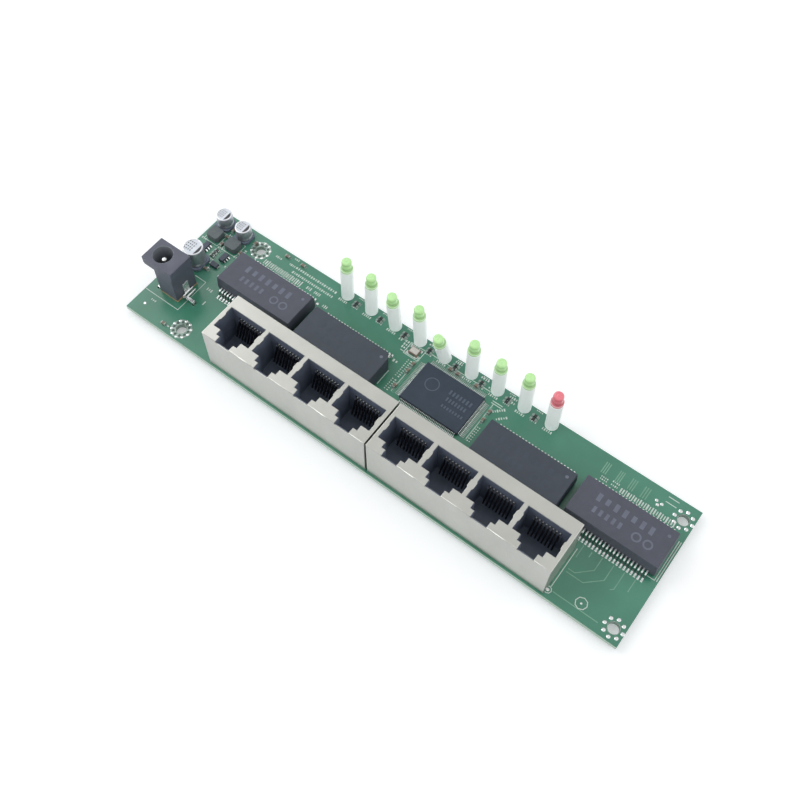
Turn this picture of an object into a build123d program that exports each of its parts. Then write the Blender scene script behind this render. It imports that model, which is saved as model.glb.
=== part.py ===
# Ethernet switch module: one long board with eight upright port jacks in two shielded blocks,
# four line transformers, a switch chip, a power socket with its converters, and nine lights.
# Millimetres, +Z up, +X along the ports and +Y from the ports to the lights.
# The origin is under the middle of the board, level with the tips of the solder tails,
# which are what the bare module stands on.

import os
from math import asin, cos, degrees, hypot, tan

from build123d import *

os.makedirs("parts", exist_ok=True)

# Board
board_thickness = 1.6
tail_reach = 1.4
led_row_to_board_edge = 1.95
module_to_board_edge = 1.65
mounting_hole_radius = 1.65
left_hole_inset = 18.9
right_hole_inset = 3.1
front_hole_inset = 3.85
rear_hole_inset = 4.95
wire_hole_clearance = 0.25

# Port jacks
blocks = 2
ports_per_block = 4
port_pitch = 13.97
port_width = 12.72
block_end_margin = 1.185
block_gap = 0.5
block_from_left = 33.45
block_from_front = 0.6
block_depth = 15.45
block_height = 16.3
sheet = 0.25
port_to_block_rear = 4.05
port_step_back = 3.8
port_step_front = 2.0
port_step_width = 7.52
latch_width = 4.92
latch_wrap = 0.5
ear_reach = 0.32
ear_front = 6.2
ear_length = 2.8
ear_slant = 0.5
seam_width = 0.2
seam_stop = 0.6
shield_tab_width = 1.6
shield_tab_inset = 3.4
shield_slot_clearance = 0.1

# Plastic inside the jacks
housing_fit = 0.05
housing_reveal = 0.1
housing_front_wall = 0.5
housing_back_wall = 0.35
latch_notch = 1.2
port_depth = 12.9
comb_wall = 0.4
comb_drop = 4.6
passage_height = 1.4
chamber_width = 8.4

# Jack contacts
contacts_per_port = 8
contact_pitch = 1.02
contact_width = 0.45
contact_thickness = 0.35
contact_row_setback = 0.75
contact_row_pitch = 1.9
contact_comb_gap = 0.1
contact_lead_in = 0.5
contact_reach = 2.3
contact_fall = 5.2
contact_shortfall = 0.1

# Line transformers
module_length = 28.15
module_width = 12.3
module_height = 6.0
module_standoff = 0.4
module_seam_height = 2.2
module_draft = 4
module_from_left = 18.0
module_pair_gap = 2.25
module_outer_setback = 5.2
module_2_setback = 3.4
module_3_setback = 3.5
module_4_gap = 1.7
chipped_corner_length = 1.9
chipped_corner_width = 2.3
module_leads_per_side = 24
module_lead_pitch = 1.045
module_lead_width = 0.5
module_lead_thickness = 0.25
module_lead_reach = 2.6

# Switch chip
chip_length = 20.0
chip_width = 14.0
chip_height = 1.5
chip_standoff = 0.1
chip_seam_height = 0.8
chip_draft = 8
chip_to_module_2 = 6.85
chip_to_module_3 = 4.95
chip_setback = 14.95
chip_long_leads = 38
chip_short_leads = 26
chip_lead_pitch = 0.5
chip_lead_width = 0.22
chip_lead_thickness = 0.16
chip_lead_reach = 1.0

# Lights
leds = 9
led_pitch = 9.08
led_from_left = 51.04
led_row_setback = 11.85
led_radius = 1.5
led_height = 4.5
led_round = 0.8
led_sides = 12
led_flange_radius = 1.9
led_flange_height = 1.0
spacer_radius = 1.95
spacer_height = 13.0
led_lead_size = 0.45
led_lead_spacing = 2.54
led_lead_play = 0.1
# How far the top of each light has been bent over, to the right and to the rear
led_leans = [
    (0.04, 0.41),
    (0.06, 0.25),
    (-0.28, -1.49),
    (-0.72, -0.32),
    (0.07, -4.73),
    (0.07, -0.34),
    (0.22, -0.88),
    (-0.23, -0.09),
    (-0.18, -0.22),
]

# Power socket
socket_from_left = 0.4
socket_from_front = 10.2
head_length = 11.6
head_width = 8.6
socket_height = 14.2
head_height = 3.3
head_chamfer = 0.6
body_setback = 4.2
body_end_step = 0.4
foot_strip_height = 0.6
barrel_from_left = 4.6
barrel_radius = 3.6
bore_radius = 3.05
bore_depth = 9.5
pin_radius = 1.0
pin_below_rim = 2.0
pin_collar_radius = 1.6
pin_collar_height = 1.0
terminal_thickness = 0.3
terminal_width = 2.2
terminal_rise = 5.6
terminal_fold_width = 4.4
terminal_fold_height = 1.0
terminal_fold_reach = 0.7
terminal_foot_reach = 3.6
terminal_arch = 1.1
terminal_tail_width = 1.0
rear_lug_reach = 1.6
rear_lug_width = 1.4

# Power converters
small_can_radius = 2.55
small_can_height = 5.4
small_base = 5.3
large_can_radius = 3.15
large_can_height = 7.5
large_base = 6.6
base_height = 1.0
base_chamfer = 1.0
can_edge = 0.3
small_can_places = [(3.67, 41.0), (11.59, 40.8)]
large_can_place = (5.8, 24.9)
inductor_length = 4.4
inductor_width = 4.1
inductor_height = 2.3
inductor_chamfer = 0.55
inductor_places = [(4.1, 35.65), (11.35, 35.65)]
regulator_length = 3.0
regulator_width = 1.7
regulator_height = 1.2
regulator_standoff = 0.1
regulator_lead_pitch = 0.95
regulator_lead_width = 0.4
regulator_lead_thickness = 0.15
regulator_lead_reach = 0.6
regulator_places = [(4.5, 30.65), (12.0, 30.65)]
diode_length = 2.6
diode_width = 1.6
diode_height = 1.1
diode_place = (11.3, 26.9)
diode_tab_length = 0.4
diode_tab_width = 0.9
diode_tab_height = 0.5

# Crystal
crystal_length = 3.2
crystal_width = 2.5
crystal_base_height = 0.5
crystal_lid_inset = 0.3
crystal_lid_height = 0.3
crystal_to_chip_leads = 2.9
crystal_before_leds = 3.85

# Chip resistors and capacitors, each with its long side along X, or along Y where it is turned
chip_part_length = 1.6
chip_part_width = 0.8
chip_cap_height = 0.8
chip_resistor_height = 0.45
converter_capacitors = [
    (7.72, 34.3, 90),
    (7.2, 40.6, 90),
    (14.65, 35.0, 90),
    (16.1, 40.8, 90),
    (10.1, 24.4, 0),
    (7.4, 37.4, 0),
    (13.5, 2.05, 0),
    (27.3, 43.0, 0),
    (33.35, 43.2, 0),
]
converter_resistors = [
    (8.3, 29.3, 0),
    (8.3, 30.5, 0),
    (8.3, 31.7, 0),
    (15.6, 32.6, 90),
]
led_resistor_offset = 4.1
led_resistor_drop = 0.5
led_resistor_gap = 1.15
chip_corner_capacitors = [(-13.3, 4.2), (-13.3, 1.6), (-13.3, -4.6), (13.1, 4.6), (13.1, 1.4)]
chip_rear_capacitors = [(-3.6, 9.35), (-1.0, 9.35), (5.5, 9.35)]

# Layout along the board, worked out from the pieces that stand on it
block_length = (ports_per_block - 1) * port_pitch + port_width + 2 * block_end_margin
port_back = block_depth - port_to_block_rear
module_2_from_left = module_from_left + module_length + module_pair_gap
chip_from_left = (
    module_2_from_left + module_length + chip_to_module_2 + chip_lead_reach + chip_length / 2
)
module_3_from_left = chip_from_left + chip_length / 2 + chip_lead_reach + chip_to_module_3
module_4_from_left = module_3_from_left + module_length + module_4_gap
board_length = module_4_from_left + module_length + module_to_board_edge
block_rear = block_from_front + block_depth
chip_from_front = block_rear + chip_setback
led_row = chip_from_front + led_row_setback
board_width = led_row + led_row_to_board_edge
left = -board_length / 2
front = -board_width / 2
board_top = tail_reach + board_thickness
tail_length = board_thickness + tail_reach
block_starts = [left + block_from_left + n * (block_length + block_gap) for n in range(blocks)]
block_front = front + block_from_front
block_sides = ["left", "right"]
port_starts = [block_end_margin + port_width / 2 + n * port_pitch for n in range(ports_per_block)]
contact_steps = [(n - (contacts_per_port - 1) / 2) * contact_pitch for n in range(contacts_per_port)]


def board_points(places):
    return [(left + x, front + y) for x, y in places]


# Where the wires go through the board
comb_back = block_front + port_back + comb_wall
contact_rows = [comb_back + contact_row_setback, comb_back + contact_row_setback + contact_row_pitch]
front_row_contacts = [
    start + port + step
    for start in block_starts
    for port in port_starts
    for step in contact_steps[0::2]
]
rear_row_contacts = [x + contact_pitch for x in front_row_contacts]
contact_hole = contact_width + 2 * wire_hole_clearance
led_places = [(left + led_from_left + n * led_pitch, front + led_row) for n in range(leds)]
led_hole = led_lead_size + 2 * wire_hole_clearance
led_holes = [(x + side * led_lead_spacing / 2, y) for x, y in led_places for side in (-1, 1)]
shield_tab_rows = [block_front + shield_tab_inset, block_front + block_depth - shield_tab_inset]
shield_tabs = [
    (start + x, y)
    for start in block_starts
    for x in (sheet / 2, block_length - sheet / 2)
    for y in shield_tab_rows
]
socket_left = left + socket_from_left
socket_front = front + socket_from_front
socket_right = socket_left + head_length - body_end_step
socket_middle = socket_front + head_width / 2
foot_tail_x = socket_right + terminal_fold_reach + terminal_foot_reach
foot_row = socket_middle - terminal_fold_width / 2 + terminal_tail_width / 2
lug_tail_x = socket_left + body_setback - rear_lug_reach
lug_row = socket_front + rear_lug_width / 2 + terminal_thickness
terminal_hole = terminal_thickness + 2 * wire_hole_clearance
terminal_slot = terminal_tail_width + 2 * wire_hole_clearance

# Circuit board
with BuildPart() as circuit_board:
    with BuildSketch(Plane.XY.offset(tail_reach)):
        Rectangle(board_length, board_width)
        with Locations(
            (left + left_hole_inset, front + front_hole_inset),
            (left + left_hole_inset, -front - rear_hole_inset),
            (-left - right_hole_inset, front + front_hole_inset),
            (-left - right_hole_inset, -front - rear_hole_inset),
        ):
            Circle(mounting_hole_radius, mode=Mode.SUBTRACT)
        with Locations([(x, contact_rows[0]) for x in front_row_contacts]):
            Rectangle(contact_hole, contact_hole, mode=Mode.SUBTRACT)
        with Locations([(x, contact_rows[1]) for x in rear_row_contacts]):
            Rectangle(contact_hole, contact_hole, mode=Mode.SUBTRACT)
        with Locations(led_holes):
            Rectangle(led_hole, led_hole, mode=Mode.SUBTRACT)
        with Locations(shield_tabs):
            Rectangle(
                sheet + 2 * shield_slot_clearance,
                shield_tab_width + 2 * shield_slot_clearance,
                mode=Mode.SUBTRACT,
            )
        with Locations((foot_tail_x, foot_row), (lug_tail_x, lug_row)):
            Rectangle(terminal_hole, terminal_slot, mode=Mode.SUBTRACT)
    extrude(amount=board_thickness)
circuit_board.part.label = "circuit_board"
export_step(circuit_board.part, "parts/circuit_board.step")


# One port seen from above, its middle at x = 0 and the block's front face at y = 0
def port_outline(inset, latch_front, ears):
    with BuildSketch() as outline:
        with Locations((0, (port_step_back + port_back) / 2)):
            Rectangle(port_width - 2 * inset, port_back - port_step_back - 2 * inset)
        with Locations((0, port_back / 2)):
            Rectangle(
                port_step_width - 2 * inset,
                port_back - 2 * port_step_front - 2 * inset,
                align=(Align.CENTER, Align.CENTER),
            )
        with Locations((0, latch_front)):
            Rectangle(
                latch_width - 2 * inset,
                port_back / 2 - latch_front,
                align=(Align.CENTER, Align.MIN),
            )
        if ears:
            for side in (-1, 1):
                edge = side * port_width / 2
                tip = edge - side * ear_reach
                with BuildLine():
                    Polyline(
                        (edge, ear_front),
                        (tip, ear_front + ear_slant),
                        (tip, ear_front + ear_length - ear_slant),
                        (edge, ear_front + ear_length),
                        close=True,
                    )
                make_face(mode=Mode.SUBTRACT)
    return outline.sketch


# Jack shields: a folded sheet with a port cut-out over each jack, open at the bottom
block_top = board_top + block_height
block_middle = block_front + block_depth / 2
for side, start in zip(block_sides, block_starts):
    ports = [(start + x, block_front) for x in port_starts]
    with BuildPart() as jack_shield:
        with BuildSketch(Plane.XY.offset(board_top)):
            with Locations((start + block_length / 2, block_middle)):
                Rectangle(block_length, block_depth)
        extrude(amount=block_height)
        with BuildSketch(Plane.XY.offset(board_top)):
            with Locations((start + block_length / 2, block_middle)):
                Rectangle(block_length - 2 * sheet, block_depth - 2 * sheet)
        extrude(amount=block_height - sheet, mode=Mode.SUBTRACT)
        with BuildSketch(Plane.XY.offset(block_top)):
            with Locations(ports):
                add(port_outline(0, -sheet, True))
        extrude(amount=-sheet, mode=Mode.SUBTRACT)
        with BuildSketch(Plane.XZ.offset(-block_front)):
            with Locations([(x, block_top) for x, y in ports]):
                Rectangle(latch_width, 2 * (sheet + latch_wrap))
        extrude(amount=-sheet, mode=Mode.SUBTRACT)
        with BuildSketch(Plane.XY.offset(board_top)):
            for x in (start + sheet / 2, start + block_length - sheet / 2):
                for y in (sheet, block_depth - sheet - seam_width):
                    with Locations((x, block_front + y)):
                        Rectangle(sheet, seam_width, align=(Align.CENTER, Align.MIN))
        extrude(amount=block_height - seam_stop, mode=Mode.SUBTRACT)
        with BuildSketch(Plane.XY.offset(board_top)):
            with Locations([(x, y) for x, y in shield_tabs if start < x < start + block_length]):
                Rectangle(sheet, shield_tab_width)
        extrude(amount=-tail_length)
    jack_shield.part.label = f"jack_shield_{side}"
    export_step(jack_shield.part, f"parts/jack_shield_{side}.step")

# Jack housings: the plastic inside each shield, hollowed by its ports
housing_edge = sheet + housing_fit
housing_height = block_height - housing_edge
comb_top = block_top - comb_drop
for side, start in zip(block_sides, block_starts):
    ports = [(start + x, block_front) for x in port_starts]
    chamber_front = port_back + comb_wall
    chamber_back = block_depth - housing_edge - housing_back_wall
    with BuildPart() as jack_housing:
        with BuildSketch(Plane.XY.offset(board_top)):
            with Locations((start + block_length / 2, block_middle)):
                Rectangle(block_length - 2 * housing_edge, block_depth - 2 * housing_edge)
        extrude(amount=housing_height)
        with BuildSketch(Plane.XY.offset(board_top + housing_height)):
            with Locations(ports):
                add(port_outline(housing_reveal, housing_edge + housing_front_wall, False))
        extrude(amount=-port_depth, mode=Mode.SUBTRACT)
        with BuildSketch(Plane.XZ.offset(-block_front - housing_edge)):
            with Locations([(x, board_top + housing_height) for x, y in ports]):
                Rectangle(latch_width - 2 * housing_reveal, 2 * latch_notch)
        extrude(amount=-housing_front_wall, mode=Mode.SUBTRACT)
        with BuildSketch(Plane.XY.offset(board_top)):
            with Locations([(x, y + chamber_front) for x, y in ports]):
                Rectangle(
                    chamber_width, chamber_back - chamber_front, align=(Align.CENTER, Align.MIN)
                )
        extrude(amount=comb_top + passage_height - board_top, mode=Mode.SUBTRACT)
        with BuildSketch(Plane.XY.offset(comb_top)):
            with Locations([(x, y + port_back - housing_reveal) for x, y in ports]):
                Rectangle(
                    chamber_width, comb_wall + housing_reveal, align=(Align.CENTER, Align.MIN)
                )
        extrude(amount=passage_height, mode=Mode.SUBTRACT)
    jack_housing.part.label = f"jack_housing_{side}"
    export_step(jack_housing.part, f"parts/jack_housing_{side}.step")


# Jack contacts: spring wires that rise from the board, pass over the comb and slant into the port
def contact_outline(row):
    top = comb_top + contact_comb_gap + contact_thickness
    bend = block_front + port_back - housing_reveal - contact_comb_gap
    with BuildSketch() as outline:
        with BuildLine():
            Polyline(
                (row + contact_thickness / 2, contact_shortfall),
                (row + contact_thickness / 2, top),
                (bend - contact_lead_in, top),
                (bend - contact_lead_in - contact_reach, top - contact_fall),
            )
            offset(amount=contact_thickness, side=Side.LEFT, kind=Kind.INTERSECTION)
        make_face()
    return outline.sketch


contacts_per_block = ports_per_block * contacts_per_port // 2
for n, side in enumerate(block_sides):
    here = slice(n * contacts_per_block, (n + 1) * contacts_per_block)
    with BuildPart() as jack_contacts:
        for xs, row in zip([front_row_contacts[here], rear_row_contacts[here]], contact_rows):
            with BuildSketch(*[Plane.YZ.offset(x - contact_width / 2) for x in xs]):
                add(contact_outline(row))
            extrude(amount=contact_width)
    jack_contacts.part.label = f"jack_contacts_{side}"
    export_step(jack_contacts.part, f"parts/jack_contacts_{side}.step")

# Line transformers: moulded bodies with a draft above and below the line where the leads leave
module_fronts = [module_outer_setback, module_2_setback, module_3_setback, module_outer_setback]
module_lefts = [module_from_left, module_2_from_left, module_3_from_left, module_4_from_left]
module_places = [
    (left + x + module_length / 2, front + block_rear + y + module_width / 2)
    for x, y in zip(module_lefts, module_fronts)
]
module_seam = board_top + module_seam_height
for number, (x, y) in enumerate(module_places, 1):
    with BuildPart() as line_transformer:
        with BuildSketch(Plane.XY.offset(module_seam)) as module_outline:
            with Locations((x, y)):
                Rectangle(module_length, module_width)
        extrude(amount=module_height - module_seam_height, taper=module_draft)
        extrude(
            module_outline.sketch,
            amount=module_standoff - module_seam_height,
            taper=module_draft,
        )
        if number == 2:
            corner_x = x + module_length / 2
            corner_y = y + module_width / 2
            with BuildSketch(Plane.XY.offset(board_top)):
                with BuildLine():
                    Polyline(
                        (corner_x - chipped_corner_length, corner_y),
                        (corner_x, corner_y - chipped_corner_width),
                        (corner_x, corner_y),
                        close=True,
                    )
                make_face()
            extrude(amount=module_height, mode=Mode.SUBTRACT)
    line_transformer.part.label = f"line_transformer_{number}"
    export_step(line_transformer.part, f"parts/line_transformer_{number}.step")

    first_lead = x - (module_leads_per_side - 1) / 2 * module_lead_pitch
    lead_xs = [first_lead + n * module_lead_pitch for n in range(module_leads_per_side)]
    body_side = y - module_width / 2
    with BuildPart() as transformer_leads:
        with BuildSketch(*[Plane.YZ.offset(x - module_lead_width / 2) for x in lead_xs]):
            with BuildLine():
                Polyline(
                    (body_side, module_seam),
                    (body_side - module_lead_reach, board_top + module_lead_thickness),
                    (body_side - module_lead_reach, board_top),
                    (body_side, module_seam - module_lead_thickness),
                    close=True,
                )
            make_face()
        extrude(amount=module_lead_width)
        mirror(about=Plane.XZ.offset(-y))
    transformer_leads.part.label = f"transformer_leads_{number}"
    export_step(transformer_leads.part, f"parts/transformer_leads_{number}.step")

# Switch chip
chip_x = left + chip_from_left
chip_y = front + chip_from_front
chip_seam = board_top + chip_seam_height
with BuildPart() as switch_chip:
    with BuildSketch(Plane.XY.offset(chip_seam)) as chip_outline:
        with Locations((chip_x, chip_y)):
            Rectangle(chip_length, chip_width)
    extrude(amount=chip_height - chip_seam_height, taper=chip_draft)
    extrude(chip_outline.sketch, amount=chip_standoff - chip_seam_height, taper=chip_draft)
switch_chip.part.label = "switch_chip"
export_step(switch_chip.part, "parts/switch_chip.step")


# One lead of the chip, in the plane of its bend, from the body's side out to its foot
def chip_lead(edge):
    with BuildSketch() as outline:
        with BuildLine():
            Polyline(
                (edge, chip_seam),
                (edge - chip_lead_reach, board_top + chip_lead_thickness),
                (edge - chip_lead_reach, board_top),
                (edge, chip_seam - chip_lead_thickness),
                close=True,
            )
        make_face()
    return outline.sketch


with BuildPart() as switch_chip_leads:
    long_start = chip_x - ((chip_long_leads - 1) * chip_lead_pitch + chip_lead_width) / 2
    long_side = [long_start + n * chip_lead_pitch for n in range(chip_long_leads)]
    with BuildSketch(*[Plane.YZ.offset(x) for x in long_side]):
        add(chip_lead(chip_y - chip_width / 2))
    extrude(amount=chip_lead_width)
    short_start = chip_y - ((chip_short_leads - 1) * chip_lead_pitch - chip_lead_width) / 2
    short_side = [short_start + n * chip_lead_pitch for n in range(chip_short_leads)]
    with BuildSketch(*[Plane.XZ.offset(-y) for y in short_side]):
        add(chip_lead(chip_x - chip_length / 2))
    extrude(amount=chip_lead_width)
    mirror(about=Plane.XZ.offset(-chip_y))
    mirror(about=Plane.YZ.offset(chip_x))
switch_chip_leads.part.label = "switch_chip_leads"
export_step(switch_chip_leads.part, "parts/switch_chip_leads.step")

# Lights: each stands on its own spacer tube, leaning as it has been bent
board_middle = tail_reach + board_thickness / 2
light_height = spacer_height + led_height
led_leads_planes = []
for number, ((x, y), (to_right, to_rear)) in enumerate(zip(led_places, led_leans), 1):
    tilt = asin(hypot(to_right, to_rear) / light_height)
    turn = (degrees(asin(-to_rear / light_height)), degrees(asin(to_right / light_height)), 0)
    foot = Plane(Location((x, y, board_middle), turn))
    seat = board_thickness / 2 / cos(tilt) + spacer_radius * tan(tilt)
    lead_side = led_lead_spacing / 2
    with BuildPart() as led_spacer:
        with BuildSketch(foot.offset(seat)):
            RegularPolygon(spacer_radius, led_sides)
            with Locations((-lead_side, 0), (lead_side, 0)):
                Rectangle(
                    led_lead_size + 2 * led_lead_play,
                    led_lead_size + 2 * led_lead_play,
                    mode=Mode.SUBTRACT,
                )
        extrude(amount=spacer_height)
    led_spacer.part.label = f"led_spacer_{number}"
    export_step(led_spacer.part, f"parts/led_spacer_{number}.step")

    with BuildPart() as led:
        with BuildSketch(foot.offset(seat + spacer_height)):
            RegularPolygon(led_flange_radius, led_sides)
        extrude(amount=led_flange_height)
        with BuildSketch(foot.offset(seat + spacer_height + led_flange_height)):
            RegularPolygon(led_radius, led_sides)
        extrude(amount=led_height - led_flange_height)
        lens_top = led.faces().sort_by(Axis(foot.origin, foot.z_dir))[-1]
        chamfer(lens_top.edges(), length=led_round, length2=led_round / 2)
    led.part.label = f"led_{number}"
    export_step(led.part, f"parts/led_{number}.step")
    led_leads_planes.append((foot, seat + spacer_height))

with BuildPart() as led_leads:
    for foot, reach in led_leads_planes:
        with BuildSketch(foot.offset(-board_thickness / 2 - tail_reach)):
            with Locations((-led_lead_spacing / 2, 0), (led_lead_spacing / 2, 0)):
                Rectangle(led_lead_size, led_lead_size)
        extrude(amount=board_thickness / 2 + tail_reach + reach)
led_leads.part.label = "led_leads"
export_step(led_leads.part, "parts/led_leads.step")

# Power socket: a head over a narrower body, with the round barrel of the bore standing free on the left
socket_top = board_top + socket_height
barrel_place = (socket_left + barrel_from_left, socket_middle)
body_length = head_length - body_setback - body_end_step
with BuildPart() as power_socket:
    with BuildSketch(Plane.XY.offset(board_top + foot_strip_height)):
        with Locations((socket_left + body_setback, socket_front)):
            Rectangle(body_length, head_width, align=(Align.MIN, Align.MIN))
        with Locations(barrel_place):
            Circle(barrel_radius)
    extrude(amount=socket_height - head_height - foot_strip_height)
    with BuildSketch(Plane.XY.offset(socket_top - head_height)):
        with Locations((socket_left, socket_front)):
            Rectangle(head_length, head_width, align=(Align.MIN, Align.MIN))
    extrude(amount=head_height)
    head_corner = power_socket.edges().filter_by(Axis.Y).group_by(Axis.X)[0].sort_by(Axis.Z)[0]
    chamfer(head_corner, length=head_chamfer)
    with BuildSketch(Plane.XY.offset(socket_top)):
        with Locations(barrel_place):
            Circle(bore_radius)
    extrude(amount=-bore_depth, mode=Mode.SUBTRACT)
power_socket.part.label = "power_socket"
export_step(power_socket.part, "parts/power_socket.step")

with BuildPart() as power_socket_base:
    with BuildSketch(Plane.XY.offset(board_top)):
        with Locations((socket_left + body_setback, socket_front)):
            Rectangle(body_length, head_width, align=(Align.MIN, Align.MIN))
    extrude(amount=foot_strip_height)
power_socket_base.part.label = "power_socket_base"
export_step(power_socket_base.part, "parts/power_socket_base.step")

bore_floor = socket_top - bore_depth
with BuildPart() as power_socket_pin:
    with BuildSketch(Plane.XY.offset(bore_floor)):
        with Locations(barrel_place):
            Circle(pin_collar_radius)
    extrude(amount=pin_collar_height)
    with BuildSketch(Plane.XY.offset(bore_floor + pin_collar_height)):
        with Locations(barrel_place):
            Circle(pin_radius)
    extrude(amount=bore_depth - pin_collar_height - pin_below_rim)
power_socket_pin.part.label = "power_socket_pin"
export_step(power_socket_pin.part, "parts/power_socket_pin.step")

# Outer terminal: a strip up the right-hand side, a wide fold at its foot and an arched leg beyond
with BuildPart() as power_terminal:
    with BuildSketch(Plane.YZ.offset(socket_right)):
        with Locations((socket_middle, board_top + terminal_fold_height)):
            Rectangle(
                terminal_width,
                terminal_rise - terminal_fold_height,
                align=(Align.CENTER, Align.MIN),
            )
        with Locations((socket_middle, board_top)):
            Rectangle(
                terminal_fold_width, terminal_fold_height, align=(Align.CENTER, Align.MIN)
            )
    extrude(amount=terminal_thickness)
    arch_start = socket_right + terminal_thickness
    with BuildSketch(Plane.XZ.offset(-foot_row - terminal_tail_width / 2)):
        with BuildLine():
            Polyline(
                (arch_start, board_top),
                (arch_start, board_top + terminal_thickness),
                (arch_start + terminal_arch, board_top + terminal_arch),
                (foot_tail_x - terminal_thickness / 2, board_top + terminal_arch),
                (foot_tail_x + terminal_thickness / 2, board_top + terminal_arch / 2),
                (foot_tail_x + terminal_thickness / 2, 0),
                (foot_tail_x - terminal_thickness / 2, 0),
                (foot_tail_x - terminal_thickness / 2, board_top + terminal_thickness),
                (foot_tail_x - terminal_arch, board_top + terminal_arch - terminal_thickness),
                (arch_start + terminal_arch, board_top + terminal_arch - terminal_thickness),
                close=True,
            )
        make_face()
    extrude(amount=terminal_tail_width)
power_terminal.part.label = "power_terminal"
export_step(power_terminal.part, "parts/power_terminal.step")

# Rear lug: a small bent strip beside the barrel, through the board
with BuildPart() as power_lug:
    lug_height = board_top + foot_strip_height
    with BuildSketch(Plane.XZ.offset(-lug_row - terminal_tail_width / 2)):
        with BuildLine():
            Polyline(
                (lug_tail_x + terminal_thickness / 2, 0),
                (lug_tail_x + terminal_thickness / 2, lug_height - terminal_thickness),
                (socket_left + body_setback, lug_height - terminal_thickness),
                (socket_left + body_setback, lug_height),
                (lug_tail_x - terminal_thickness / 2, lug_height),
                (lug_tail_x - terminal_thickness / 2, 0),
                close=True,
            )
        make_face()
    extrude(amount=terminal_tail_width)
power_lug.part.label = "power_lug"
export_step(power_lug.part, "parts/power_lug.step")

# Capacitors: a can on a square base with two cut corners
can_places = board_points([large_can_place] + small_can_places)
can_radii = [large_can_radius, small_can_radius, small_can_radius]
can_heights = [large_can_height, small_can_height, small_can_height]
can_bases = [large_base, small_base, small_base]
for number, (place, radius, height, base) in enumerate(
    zip(can_places, can_radii, can_heights, can_bases), 1
):
    with BuildPart() as capacitor_base:
        with BuildSketch(Plane.XY.offset(board_top)) as base_outline:
            with Locations(place):
                Rectangle(base, base)
            chamfer(base_outline.vertices().group_by(Axis.X)[-1], length=base_chamfer)
        extrude(amount=base_height)
    capacitor_base.part.label = f"capacitor_base_{number}"
    export_step(capacitor_base.part, f"parts/capacitor_base_{number}.step")

    with BuildPart() as capacitor:
        with BuildSketch(Plane.XY.offset(board_top + base_height)):
            with Locations(place):
                Circle(radius)
        extrude(amount=height - base_height)
        chamfer(capacitor.edges().filter_by(GeomType.CIRCLE).sort_by(Axis.Z)[-1], length=can_edge)
    capacitor.part.label = f"capacitor_{number}"
    export_step(capacitor.part, f"parts/capacitor_{number}.step")

# Inductors: moulded blocks with cut corners
for number, place in enumerate(board_points(inductor_places), 1):
    with BuildPart() as inductor:
        with BuildSketch(Plane.XY.offset(board_top)) as inductor_outline:
            with Locations(place):
                Rectangle(inductor_length, inductor_width)
            chamfer(inductor_outline.vertices(), length=inductor_chamfer)
        extrude(amount=inductor_height)
    inductor.part.label = f"inductor_{number}"
    export_step(inductor.part, f"parts/inductor_{number}.step")

# Voltage regulators
regulator_seam = board_top + regulator_standoff + regulator_height / 2
for number, place in enumerate(board_points(regulator_places), 1):
    with BuildPart() as regulator:
        with BuildSketch(Plane.XY.offset(board_top + regulator_standoff)):
            with Locations(place):
                Rectangle(regulator_width, regulator_length)
        extrude(amount=regulator_height)
    regulator.part.label = f"regulator_{number}"
    export_step(regulator.part, f"parts/regulator_{number}.step")

with BuildPart() as regulator_leads:
    for x, y in board_points(regulator_places):
        for row in (-1, 0, 1):
            lead_y = y + row * regulator_lead_pitch + regulator_lead_width / 2
            for side in (-1, 1):
                edge = x + side * regulator_width / 2
                tip = edge + side * regulator_lead_reach
                with BuildSketch(Plane.XZ.offset(-lead_y)):
                    with BuildLine():
                        Polyline(
                            (edge, regulator_seam),
                            (tip, board_top + regulator_lead_thickness),
                            (tip, board_top),
                            (edge, regulator_seam - regulator_lead_thickness),
                            close=True,
                        )
                    make_face()
                extrude(amount=regulator_lead_width)
regulator_leads.part.label = "regulator_leads"
export_step(regulator_leads.part, "parts/regulator_leads.step")

# Diode
diode_x, diode_y = board_points([diode_place])[0]
with BuildPart() as diode:
    with BuildSketch(Plane.XY.offset(board_top)):
        with Locations((diode_x, diode_y)):
            Rectangle(diode_length, diode_width)
    extrude(amount=diode_height)
diode.part.label = "diode"
export_step(diode.part, "parts/diode.step")

with BuildPart() as diode_tabs:
    with BuildSketch(Plane.XY.offset(board_top)):
        for side in (-1, 1):
            with Locations((diode_x + side * (diode_length + diode_tab_length) / 2, diode_y)):
                Rectangle(diode_tab_length, diode_tab_width)
    extrude(amount=diode_tab_height)
diode_tabs.part.label = "diode_tabs"
export_step(diode_tabs.part, "parts/diode_tabs.step")

# Crystal: a metal lid on a flat ceramic base
crystal_x = chip_x - chip_length / 2 - chip_lead_reach - crystal_to_chip_leads - crystal_length / 2
crystal_place = (crystal_x, front + led_row - crystal_before_leds)
with BuildPart() as crystal_base:
    with BuildSketch(Plane.XY.offset(board_top)):
        with Locations(crystal_place):
            Rectangle(crystal_length, crystal_width)
    extrude(amount=crystal_base_height)
crystal_base.part.label = "crystal_base"
export_step(crystal_base.part, "parts/crystal_base.step")

with BuildPart() as crystal_lid:
    with BuildSketch(Plane.XY.offset(board_top + crystal_base_height)):
        with Locations(crystal_place):
            Rectangle(
                crystal_length - 2 * crystal_lid_inset, crystal_width - 2 * crystal_lid_inset
            )
    extrude(amount=crystal_lid_height)
crystal_lid.part.label = "crystal_lid"
export_step(crystal_lid.part, "parts/crystal_lid.step")

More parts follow.
